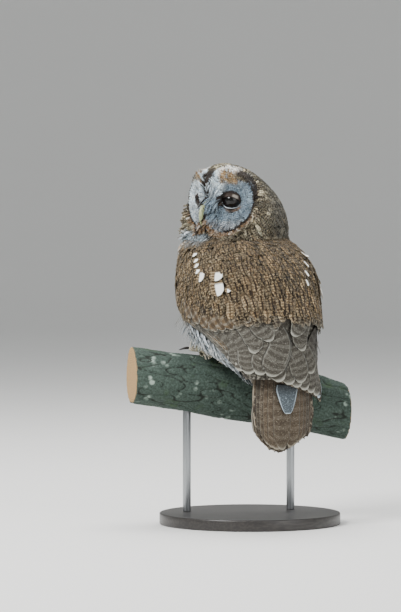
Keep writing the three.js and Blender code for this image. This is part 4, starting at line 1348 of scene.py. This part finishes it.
def add_lids(shape, side, head):
    """Adds the lids of one eye: a shell just over the eyeball with an almond opening and a rolled rim."""
    centre = Vector(eye_centre(side))
    outward = Vector(disc_axis(side, (1, 0, 0)))
    forward = Vector(disc_axis(side, (0, 0, 1)))
    upward = Vector((0, 0, 1))
    segments, rings = 56, 7
    rim_thick = 0.9 * MM
    rows = []  # the first lies against the eyeball, the second is the top of the rim, the last is hidden
    for k in range(rings + 2):
        share = max(0, k - 1) / rings
        row = []
        for i in range(segments):
            turn = 2 * math.pi * i / segments
            c, s = math.cos(turn), math.sin(turn)
            tall = head.opening_height * (0.92 if s > 0 else 1.0)
            open_out = head.opening_width * c
            open_up = tall * math.copysign(abs(s) ** 0.85, s) - head.opening_drop - 0.6 * MM * c
            wide_out, wide_up = 0.985 * head.eye_radius * c, 0.985 * head.eye_radius * s
            out = open_out + (wide_out - open_out) * share
            up = open_up + (wide_up - open_up) * share
            radius = head.eye_radius + (0.15 * MM if k == 0 else rim_thick + (0.5 - 0.5 * share) * MM)
            if k == 1:
                radius += 0.1 * MM
            deep = math.sqrt(max(head.eye_radius**2 - out**2 - up**2, 0.04 * head.eye_radius**2))
            point = (outward * out + upward * up + forward * deep).normalized() * radius
            row.append(shape.verts.new(centre + point))
        rows.append(row)
    for low, high in zip(rows, rows[1:]):
        for i in range(segments):
            j = (i + 1) % segments
            corners = (low[i], low[j], high[j], high[i])
            shape.faces.new(corners if side < 0 else corners[::-1])


def disc_axis(side, vector):
    """A direction out, up and forward of a disc, as a direction in the row frame."""
    out, up, forward = vector
    c, s = math.cos(DISC_TURN), math.sin(DISC_TURN)
    local_side = side * (out * c + forward * s)
    local_back = out * s - forward * c
    hc, hs = math.cos(HEAD_TURN), math.sin(HEAD_TURN)
    return (hc * local_side - hs * local_back, hs * local_side + hc * local_back, up)


def past_opening(points, head):
    """How far places lie past the lids' opening, as a share of its size."""
    out, up, _ = disc_frame(points).T
    wide, tall, drop = head.opening_width / MM, head.opening_height / MM, head.opening_drop / MM
    return np.hypot(out / wide, (up + drop + 0.06 * out) / tall) - 1


def lid_colours(points, head):
    """Grey brown upper lid with a painted highlight as a pale streak, dark inner corner, and a thin pale rim
    along the lower lid.

    Also gives how bare each place is, as the small feathers of the disc start on the lids' outer part.
    """
    out, up, _ = disc_frame(points).T
    past = past_opening(points, head)
    tone = np.tile(np.array(head.lid), (len(points), 1))
    corner = soft(-5.5, -8.5, out)
    lower = soft(-2.8, -4.6, up + 0.12 * out) * soft(0.16, 0.08, past)
    # Painted highlight: a pale streak on the outer part of the upper lid stands for light reflected by the
    # wet lid.
    streak = soft(3.0, 5.0, out) * soft(11.0, 9.0, out) * soft(0, 2, up)
    streak = streak * soft(0.02, 0.1, past) * soft(0.6, 0.4, past)
    goals = ((corner, linear("17100D")), (lower, head.lid_rim), (0.75 * streak, linear("9A948A")))
    for mask, goal in goals:
        tone += mask[:, None] * (np.array(goal) - tone)
    covered = soft(-4, -8, out)
    return tone, soft(0.9, 0.8, past) * (1 - covered) + soft(0.3, 0.2, past) * covered


def unwrap(piece):
    """Unwraps the skin by its own shape into the map named OFBake."""
    piece.data.uv_layers.new(name="OFBake")
    context = bpy.context
    context.view_layer.objects.active = piece
    piece.select_set(True)
    bpy.ops.object.mode_set(mode="EDIT")
    bpy.ops.mesh.select_all(action="SELECT")
    bpy.ops.uv.smart_project(angle_limit=math.radians(70), island_margin=0.003)
    bpy.ops.object.mode_set(mode="OBJECT")
    piece.select_set(False)


class OWL_OT_eyes(bpy.types.Operator):
    """Makes the two eyeballs, each with a cornea standing a little proud"""

    bl_idname = "owl.eyes"
    bl_label = "Eyes"

    def execute(self, context):
        radius = context.scene.owl_head.eye_radius
        for name, side in SIDES.items():
            facing = Vector(disc_axis(side, (0, 0, 1)))
            aimed = facing.to_track_quat("Z", "Y").to_matrix().to_4x4()
            place = Matrix.Translation(Vector(eye_centre(side))) @ aimed
            shape = bmesh.new()
            bmesh.ops.create_uvsphere(shape, u_segments=48, v_segments=32, radius=radius)
            turned = []
            for vertex in shape.verts:
                turned.append(math.acos(max(-1, min(1, vertex.co.z / radius))))
                vertex.co.z += 0.8 * MM * max(0.0, math.cos(turned[-1])) ** 3
            bmesh.ops.transform(shape, matrix=place, verts=shape.verts)
            mesh = bpy.data.meshes.new(f"eyeball_{name}")
            shape.to_mesh(mesh)
            shape.free()
            set_number(mesh, "FromAxis", np.array(turned))
            smooth_shaded(mesh)
            piece = new_piece(f"eyeball_{name}", mesh, eye_material())
            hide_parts(f"eye_{name}")
        return {"FINISHED"}


class OWL_OT_bill(bpy.types.Operator):
    """Rounds the two horns of the bill"""

    bl_idname = "owl.bill"
    bl_label = "Bill"

    def execute(self, context):
        tone = tuple(context.scene.owl_head.horn)
        finish = horn_material("Bill_horn", tone, tuple(c * 0.62 for c in tone), 0.38)
        for part in ("upper", "lower"):
            mesh = modified(merged_copy(f"bill_horn_{part}", [f"bill_{part}"]),
                            ("SUBSURF", {"levels": 2, "render_levels": 2}))
            smooth_shaded(mesh)
            piece = new_piece(f"bill_horn_{part}", mesh, finish)
            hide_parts(f"bill_{part}")
        return {"FINISHED"}


class OWL_OT_claws(bpy.types.Operator):
    """Rounds the claws of both feet"""

    bl_idname = "owl.claws"
    bl_label = "Claws"

    def execute(self, context):
        tone = tuple(context.scene.owl_head.claw)
        finish = horn_material("Claw_horn", tone, tuple(c * 0.5 for c in tone), 0.3)
        for name in SIDES:
            for toe in TOES:
                mesh = modified(merged_copy(f"talon_{name}_{toe}", [f"claw_{name}_{toe}"]),
                                ("SUBSURF", {"levels": 2, "render_levels": 2}))
                smooth_shaded(mesh)
                piece = new_piece(f"talon_{name}_{toe}", mesh, finish)
                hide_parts(f"claw_{name}_{toe}")
        return {"FINISHED"}


class OWL_OT_face_coat(bpy.types.Operator):
    """Lays the thin stiff feathers of the facial discs round each eye and the bristles beside the bill"""

    bl_idname = "owl.face_coat"
    bl_label = "Facial discs"

    def execute(self, context):
        finish = feather_material("Stiff_disc_feather", 2.4, 0.85, 0.05, 0.7)

        def disc(here):
            return (here.in_disc & (here.reach > 6)).astype(float)

        def disc_sizes(here):
            grown = np.clip((here.reach - 12) / 22, 0, 1)
            spacing, long, wide, lift = by_share(grown, (1.1, 4.2, 1.3, 0.9), (1.6, 9.0, 2.1, 2.0))
            return spacing, long * (1 - 0.45 * soft(-9, -3, here.past_disc)), wide, lift

        def lores(here):
            beside = (np.abs(here.head_x) < 10) & (here.head_y < -36) & (here.z > 372) & (here.z < 406)
            return beside.astype(float)

        def lore_sizes(here):
            return by_share(soft(391, 399, here.z), (1.4, 13.0, 1.5, 4.6), (1.3, 20.0, 1.9, 5.6))

        def fans(here):
            inner = np.where(here.head_x > 0, -18.5, -11.0)
            return (here.in_disc & (here.out < inner) & (here.up > -9) & (here.up < 17)).astype(float)

        def fan_sizes(here):
            return equal_sizes(here, (1.5, 12.5, 1.9, 4.0))

        coat_piece("coat_brow_fans", fans, fan_sizes, SMALL_VANE, finish, 15, disorder=0.2,
                   lie=lie_of_fans)
        coat_piece("coat_facial_discs", disc, disc_sizes, SMALL_VANE, finish, 11,
                   disorder=0.08)
        coat_piece("coat_bristles", lores, lore_sizes, NARROW_VANE, finish, 14, curl=0.35,
                   disorder=0.3, lie=lie_of_bristles)
        return {"FINISHED"}


class OWL_OT_head_coat(bpy.types.Operator):
    """Lays the small feathers of the crown, nape, ruff and throat"""

    bl_idname = "owl.head_coat"
    bl_label = "Head feathers"

    def execute(self, context):
        finish = feather_material("Soft_head_feather", 2.8, 0.9, 0.06, 0.8)

        def ruff(here):
            return (here.z > COLLAR) & ~here.in_disc & (here.past_disc < 8) & (here.forward > -13)

        def crown(here):
            return ((here.z > COLLAR - 5) & ~here.in_disc & ~ruff(here)).astype(float)

        def crown_sizes(here):
            return by_share(soft(430, 360, here.z), (2.1, 10.0, 3.7, 3.6), (2.8, 15.0, 5.4, 5.0))

        def ruff_sizes(here):
            outer = soft(10, 24, here.out) * (here.head_x < 0)
            spacing, long, wide, lift = by_share(outer, (1.6, 8.5, 2.7, 3.2), (1.6, 10.0, 2.7, 4.6))
            chin = soft(12, 7, np.abs(here.head_x)) * soft(-36, -42, here.head_y)
            return spacing, long * (1 - 0.3 * chin), wide, lift * (1 - 0.75 * chin)

        coat_piece("coat_crown_and_nape", crown, crown_sizes, SMALL_VANE, finish, 12)
        coat_piece("coat_ruff", lambda here: ruff(here).astype(float), ruff_sizes, SMALL_VANE, finish,
                   13)
        return {"FINISHED"}


class OWL_OT_body_coat(bpy.types.Operator):
    """Lays the feathers of the mantle, the breast and the belly, with the white-spotted scapulars"""

    bl_idname = "owl.body_coat"
    bl_label = "Body feathers"

    def execute(self, context):
        mantle_finish = feather_material("Soft_body_feather", 3.6, 0.9, 0.06, 0.9)
        breast_finish = feather_material("Loose_breast_feather", 5.5, 0.92, 0.08, 1.1)

        def mantle(here):
            return (upper_back(here) & (here.z < COLLAR + 2)).astype(float)

        def breast(here):
            front = ~here.on("wing_left", "wing_right", "tail") & (here.z > LEG_TOP) & (here.past_lead < 8)
            under = here.on("trunk") & (here.z <= LEG_TOP) & (here.y < 46)
            return ((front | under) & (here.z < COLLAR + 3) & ~upper_back(here)).astype(float)

        def mantle_sizes(here):
            fold = 2.6 * soft(298, 286, here.z) * soft(266, 272, here.z)
            return by_share(soft(340, 290, here.z), (3.0, 17.0, 7.2, 5.8), (3.8, 25.0, 10.0, 6.4 + fold))

        def breast_sizes(here):
            fluff = 3.5 * soft(262, 250, here.z) * soft(228, 238, here.z) * soft(-26, -14, here.past_lead)
            return by_share(soft(345, 250, here.z), (3.2, 17.0, 6.4, 5.8), (3.9, 25.0, 7.6, 6.6 + fluff))

        coat_piece("coat_mantle", mantle, mantle_sizes, ROUND_VANE, mantle_finish, 21)
        coat_piece("coat_breast", breast, breast_sizes, LOOSE_VANE, breast_finish, 22,
                   disorder=0.18, ragged=0.2)

        def flank(here):
            low = (here.z > 236) & (here.z < 264) & (here.past_lead < -1) & (here.past_lead > -16)
            return (here.on("trunk", "wing_left", "wing_right") & low).astype(float)

        def wisp_sizes(here):
            return equal_sizes(here, (3.4, 24.0, 2.2, 5.0))

        coat_piece("coat_flank_wisps", flank, wisp_sizes, NARROW_VANE, breast_finish, 24, curl=0.5,
                   disorder=0.35, lie=lie_of_wisps)

        tones = context.scene.owl_plumage
        ground_tones = (tuple(tones.mantle), tuple(tones.mantle_buff))
        spots = []
        for onto, turn, level, long, wide in SCAPULAR_SPOTS:
            place = turn - wing_lead(level)
            lead_shift = wing_lead(level - long / 2) - wing_lead(level + 1.5 * long)
            root = (place + lead_shift * 0.5, level + 1.5 * long)
            spots.append(Quill(onto, root, (place, level - long / 2), 1.5 * wide, (-1.2, 2.2), tilt=0.3,
                               marks=(0.5, 0.5, 0.1, 1.0), tones=ground_tones))
        over = ("trunk", "neck", "wing_left", "wing_right")
        quill_piece("coat_scapulars", spots, over, mantle_finish, 23)
        return {"FINISHED"}


def upper_back(here):
    """Where the mantle and scapulars cover the back and the roots of the wings."""
    hem = 270 + 14 * mottle(here.turn / 6.5, here.turn / 40)  # uneven, so it shows no straight edge
    return (here.z > hem) & (here.turn > 42) | (here.z > 318) & (here.past_lead > -14)


class OWL_OT_wing_coat(bpy.types.Operator):
    """Lays the lesser and median coverts of both folded wings"""

    bl_idname = "owl.wing_coat"
    bl_label = "Wing coverts"

    def execute(self, context):
        finish = feather_material("Smooth_covert", 3.8, 0.88, 0.06, 0.9)

        def sizes(here):
            return by_share(soft(325, 250, here.z), (2.9, 13.5, 6.0, 5.6), (3.9, 21.0, 9.2, 5.6))

        for name, side in SIDES.items():

            def wanted(here, wing=f"wing_{name}"):
                above = here.z > np.interp(here.turn, QUILL_TURNS, QUILL_LEVELS)
                inside = (here.outward < 0.2) & (here.z > 240)
                return (here.on(wing) & (above | inside) & ~upper_back(here)).astype(float)

            coat_piece(f"coat_wing_{name}", wanted, sizes, ROUND_VANE, finish, 30 + side)
        return {"FINISHED"}


class OWL_OT_flight_feathers(bpy.types.Operator):
    """Lays the flight feathers, the tertials and the greater coverts of both folded wings"""

    bl_idname = "owl.flight_feathers"
    bl_label = "Flight feathers"

    def execute(self, context):
        finish = feather_material("Stiff_flight_feather", 8.5, 0.8, 0.05, 1.3, rim=0.22, gap_shadow=0.9)
        counts = context.scene.owl_coat
        tones = context.scene.owl_plumage
        for name, side in SIDES.items():
            tips = np.array(WING_TIPS[name])
            quills = []
            count = counts.secondaries - 4 * (name == "right")
            for k in range(count):
                share = k / (count - 1)
                turn, level = (np.interp(share * (len(tips) - 1), range(len(tips)), column)
                               for column in tips.T)
                past = max(turn - wing_lead(level), 4)
                top = min(level + QUILL_LENGTH, SHOULDER)
                root = (np.interp(turn, *ROOT_OF_TIP) - wing_lead(top), top)
                brown = name == "left" and level > 205
                fringed = name == "right" and k < 2
                ground = tuple(tones.covert if brown else tones.quill)
                pale = tuple(tones.disc_pale if fringed else tones.quill_pale)
                wide = 13 if brown else 22 + 9 * share
                edge = 1.0 if fringed else 0.8 if brown else 0.3
                quills.append(Quill(name, root, (past, level), wide, (0.25 * k - 4, 0.3 * k - 1.5),
                                    tilt=0.6, marks=(0.3 * brown, 0.12, edge, 0), tones=(ground, pale)))
            plain = (tuple(tones.quill), tuple(tones.quill_pale))
            for k, (turn, level, wide) in enumerate(TERTIALS[name]):
                past = turn - wing_lead(level)
                top = level + TERTIAL_LENGTH
                root = (np.interp(turn, *ROOT_OF_TIP) - wing_lead(top), top)
                quills.append(Quill(name, root, (past, level), wide, (-4, 2.4 + 0.4 * k),
                                    marks=(0.0, 0.12, 0.2, 0), tones=plain))
            covert = (tuple(tones.covert), tuple(tones.quill_pale))
            for k in range(counts.greater_coverts):
                turn = 6 + 82 * k / (counts.greater_coverts - 1)
                level = np.interp(turn, *GREATER_TIPS)
                top = level + GREATER_LENGTH
                root = (turn - 4 - wing_lead(top), top)
                quills.append(Quill(name, root, (turn - wing_lead(level), level), 13, (-3.5, 2.4),
                                    marks=(0.6, 0.2, 0.0, 0), tones=covert))
            quill_piece(f"quills_wing_{name}", quills, ("trunk", f"wing_{name}"), finish, 50 + side)
        return {"FINISHED"}


class OWL_OT_tail_feathers(bpy.types.Operator):
    """Fans the tail feathers over the back and the underside of the tail"""

    bl_idname = "owl.tail_feathers"
    bl_label = "Tail feathers"

    def execute(self, context):
        finish = feather_material("Barred_tail_feather", 11.0, 0.82, 0.05, 1.3, rim=0.18, gap_shadow=0.9)
        count = context.scene.owl_coat.rectrices
        tones = context.scene.owl_plumage
        quills = []
        for onto, top in (("back", 202), ("front", 166)):
            for k in sorted(range(count), key=lambda i: -abs(2 * i - count + 1)):  # outer ones first
                s = (2 * k - count + 1) / (count - 1)
                spread = math.copysign(abs(s) ** 0.62, s)
                lift = 1.4 - 2.2 * abs(s) + 0.3 * (s > 0) if onto == "back" else 1.6 * abs(s) - 1
                root = (TAIL_MIDDLE + TAIL_HALF * spread, top)
                skew = (spread - 0.3) / (0.7 if spread > 0.3 else 1.3)
                tip = (TAIL_MIDDLE + TAIL_HALF * spread, 91 + 20 * abs(skew) ** 2.3)
                edge = 0.9 if abs(s) > 0.85 else 0.12
                quills.append(Quill(onto, root, tip, 25, (lift - 0.6, lift), tilt=0.0, bow=5 * spread,
                                    shape="broad", marks=(0.1, 0.08, edge, 0)))
        greyed = tuple(0.65 * a + 0.35 * b for a, b in zip(tones.quill, tones.disc))
        quills.append(Quill("back", (-2, 178), (-2.6, 139), 32, (3.6, 5.0), tilt=0.0, shape="pointed",
                            marks=(0.0, 0.0, 1.0, 0), tones=(greyed, tuple(tones.disc_pale))))
        quill_piece("quills_tail", quills, ("tail",), finish, 60)
        return {"FINISHED"}


class OWL_OT_leg_coat(bpy.types.Operator):
    """Lays the short down of the legs and toes"""

    bl_idname = "owl.leg_coat"
    bl_label = "Legs and toes"

    def execute(self, context):
        finish = feather_material("Leg_down", 4.0, 0.95, 0.1, 0.9)

        def wanted(here):
            legs = here.on("leg_left", "leg_right") & (here.z <= LEG_TOP)
            return (legs | here.on("foot_left", "foot_right")).astype(float)

        def sizes(here):
            toe = here.on("foot_left", "foot_right").astype(float)
            spacing, long, wide, lift = by_share(toe, (2.5, 14.0, 4.0, 4.0), (1.4, 5.0, 1.9, 1.3))
            over_foot = np.clip(here.z - np.where(here.x > 0, 222, 210), 0, 20)
            return spacing, np.minimum(long, 6 + over_foot), wide, lift

        coat_piece("coat_legs_and_toes", wanted, sizes, SMALL_VANE, finish, 41, disorder=0.3)
        return {"FINISHED"}


class OWL_OT_branch(bpy.types.Operator):
    """Roughens the cut branch into bark with cracks, plates and sawn ends"""

    bl_idname = "owl.branch"
    bl_label = "Branch"

    def execute(self, context):
        perch = context.scene.owl_perch
        mesh = modified(merged_copy("branch_bark", ["perch_branch"]),
                        ("REMESH", {"mode": "VOXEL", "voxel_size": perch.grain}),
                        ("SMOOTH", {"factor": 0.5, "iterations": 6}))
        points, normals = coordinates(mesh), normals_of(mesh)
        low, high = (np.array(c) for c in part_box("perch_branch"))
        middle = (low + high) / 2
        slant = math.radians(18)  # between the branch and X
        along = unit(np.array((-math.cos(slant), math.sin(slant), -0.17)))
        place = (points - middle) @ along
        off = points - middle - place[:, None] * along
        sawn = soft(0.72, 0.9, np.abs(normals @ along))
        crack = np.empty(len(points))
        rise = np.empty(len(points))
        for i, (point, way) in enumerate(zip(points, place)):
            turned = Vector(point - along * way * 0.62)  # plates are longer along the branch
            plates = noise.noise(turned * 150)  # about 7 mm across
            ridge = 1 - abs(noise.noise(turned * 95 + Vector((9, 3, 1)))) * 3.2
            fine = noise.noise(Vector(point) * 420)
            crack[i] = max(0.0, ridge) ** 3
            rise[i] = 0.9 * plates + 0.35 * fine - 1.7 * crack[i]
        points += normals * (rise * (1 - 0.9 * sawn) * MM)[:, None]
        mesh.vertices.foreach_set("co", points.ravel())
        set_number(mesh, "Crack", crack * (1 - sawn))
        set_number(mesh, "Sawn", sawn)
        set_number(mesh, "FromHeart", np.linalg.norm(off, axis=1))
        smooth_shaded(mesh)
        piece = new_piece("branch_bark", mesh, bark_material())
        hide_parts("perch_branch")
        return {"FINISHED"}


class OWL_OT_stand(bpy.types.Operator):
    """Turns the display base and its two rods"""

    bl_idname = "owl.stand"
    bl_label = "Display stand"

    def execute(self, context):
        low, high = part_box("stand_base")
        self.turned("display_base", low, high, 128, 1.6 * MM, stained_wood_material(), "stand_base",
                    "stand_base")
        for i in (1, 2):
            low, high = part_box(f"stand_rod_{i}")
            self.turned(f"display_rod_{i}", low, high, 40, 0.4 * MM, steel_material(), "stand_rod",
                        f"stand_rod_{i}")
        return {"FINISHED"}

    def turned(self, name, low, high, segments, bevel, finish, slot, cad_node):
        """A round bar or disc that fills a node's box, with its rims eased."""
        shape = bmesh.new()
        radius, tall = (high.x - low.x) / 2, high.z - low.z
        bmesh.ops.create_cone(shape, cap_ends=True, segments=segments, radius1=radius, radius2=radius,
                              depth=tall, matrix=Matrix.Translation((low + high) / 2))
        rims = [e for e in shape.edges if any(len(f.verts) > 4 for f in e.link_faces)]
        bmesh.ops.bevel(shape, geom=rims, offset=bevel, offset_type="OFFSET", segments=3, profile=0.5,
                        affect="EDGES", material=-1)
        mesh = bpy.data.meshes.new(name)
        shape.to_mesh(mesh)
        shape.free()
        for face in mesh.polygons:
            face.use_smooth = len(face.vertices) == 4
        piece = new_piece(name, mesh, finish)
        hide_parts(cad_node)


class OWL_OT_stage(bpy.types.Operator):
    """Sets up the plain floor, the camera and the soft lights"""

    bl_idname = "owl.stage"
    bl_label = "Stage"

    def execute(self, context):
        stage = context.scene.owl_stage
        shape = bmesh.new()
        rise = [(6 + 3 * math.sin(t), 0, 3 - 3 * math.cos(t)) for t in np.linspace(0, math.pi / 2, 12)]
        outline = [shape.verts.new(corner) for corner in [(0, 0, 0), *rise, (9, 0, 5)]]
        edges = [shape.edges.new(pair) for pair in zip(outline, outline[1:])]
        bmesh.ops.spin(shape, geom=outline + edges, axis=(0, 0, 1), cent=(0, 0, 0), steps=64, angle=math.tau,
                       use_merge=True)
        bmesh.ops.remove_doubles(shape, verts=shape.verts, dist=1e-5)
        bmesh.ops.recalc_face_normals(shape, faces=shape.faces)
        if sum(face.normal.z * face.calc_area() for face in shape.faces) < 0:
            bmesh.ops.reverse_faces(shape, faces=shape.faces)
        for face in shape.faces:
            face.smooth = True
        mesh = bpy.data.meshes.new("studio_floor")
        shape.to_mesh(mesh)
        shape.free()
        floor = bpy.data.objects.new("studio_floor", mesh)
        context.collection.objects.link(floor)
        mesh.materials.append(floor_material())

        turn, lift = VIEW_TURN, stage.elevation
        back = Vector((math.sin(turn) * math.cos(lift), -math.cos(turn) * math.cos(lift), math.sin(lift)))
        lens = bpy.data.cameras.new("camera")
        lens.sensor_width = 36
        lens.lens = lens.sensor_width * stage.distance / stage.frame_height
        lens.clip_end = 60
        camera = bpy.data.objects.new("camera", lens)
        context.collection.objects.link(camera)
        camera.location = BIRD_CENTRE + back * stage.distance
        camera.rotation_euler = (-back).to_track_quat("-Z", "Y").to_euler()
        context.scene.camera = camera

        right = Vector((math.cos(turn), math.sin(turn), 0))
        for name, place, power, size in (
            ("key", back * 1.6 - right * 1.5 + Vector((0, 0, 1.9)), 120, 1.0),
            ("fill", back * 1.9 + right * 1.9 + Vector((0, 0, 0.7)), 26, 1.8),
            ("top", -back * 0.7 + Vector((0, 0, 2.2)), 75, 1.4),
        ):
            lamp = bpy.data.lights.new(name, "AREA")
            lamp.energy = power
            lamp.size = size
            light = bpy.data.objects.new(name, lamp)
            context.collection.objects.link(light)
            light.location = BIRD_CENTRE + place
            light.rotation_euler = (-place).to_track_quat("-Z", "Y").to_euler()

        world = bpy.data.worlds.new("studio")
        context.scene.world = world
        world.use_nodes = True
        world.node_tree.nodes["Background"].inputs[0].default_value = (*linear("E4E8EB"), 1)
        world.node_tree.nodes["Background"].inputs[1].default_value = 0.6
        return {"FINISHED"}


class OWL_PT_panel(bpy.types.Panel):
    """Lists the pieces of the owl in the order they are made"""

    bl_idname = "OWL_PT_panel"
    bl_label = "Tawny owl"
    bl_space_type = "VIEW_3D"
    bl_region_type = "UI"
    bl_category = "Owl"

    def draw(self, context):
        for operator in OPERATORS:
            self.layout.operator(operator.bl_idname)


GROUPS = {
    "owl_plumage": PlumageColours,
    "owl_coat": CoatSizes,
    "owl_head": HeadSizes,
    "owl_perch": PerchSettings,
    "owl_stage": StageSettings,
}
OPERATORS = (OWL_OT_skin, OWL_OT_eyes, OWL_OT_bill, OWL_OT_claws, OWL_OT_face_coat, OWL_OT_head_coat,
             OWL_OT_body_coat, OWL_OT_wing_coat, OWL_OT_flight_feathers, OWL_OT_tail_feathers,
             OWL_OT_leg_coat, OWL_OT_branch, OWL_OT_stand, OWL_OT_stage)


def register():
    for group in GROUPS.values():
        bpy.utils.register_class(group)
    for name, group in GROUPS.items():
        setattr(bpy.types.Scene, name, PointerProperty(type=group))
    for operator in OPERATORS:
        bpy.utils.register_class(operator)
    bpy.utils.register_class(OWL_PT_panel)


def unregister():
    bpy.utils.unregister_class(OWL_PT_panel)
    for operator in reversed(OPERATORS):
        bpy.utils.unregister_class(operator)
    for name, group in GROUPS.items():
        delattr(bpy.types.Scene, name)
        bpy.utils.unregister_class(group)


def main():
    """Makes every piece in order."""
    register()
    for operator in OPERATORS:
        group, name = operator.bl_idname.split(".")
        getattr(getattr(bpy.ops, group), name)()


if __name__ == "__main__":
    main()
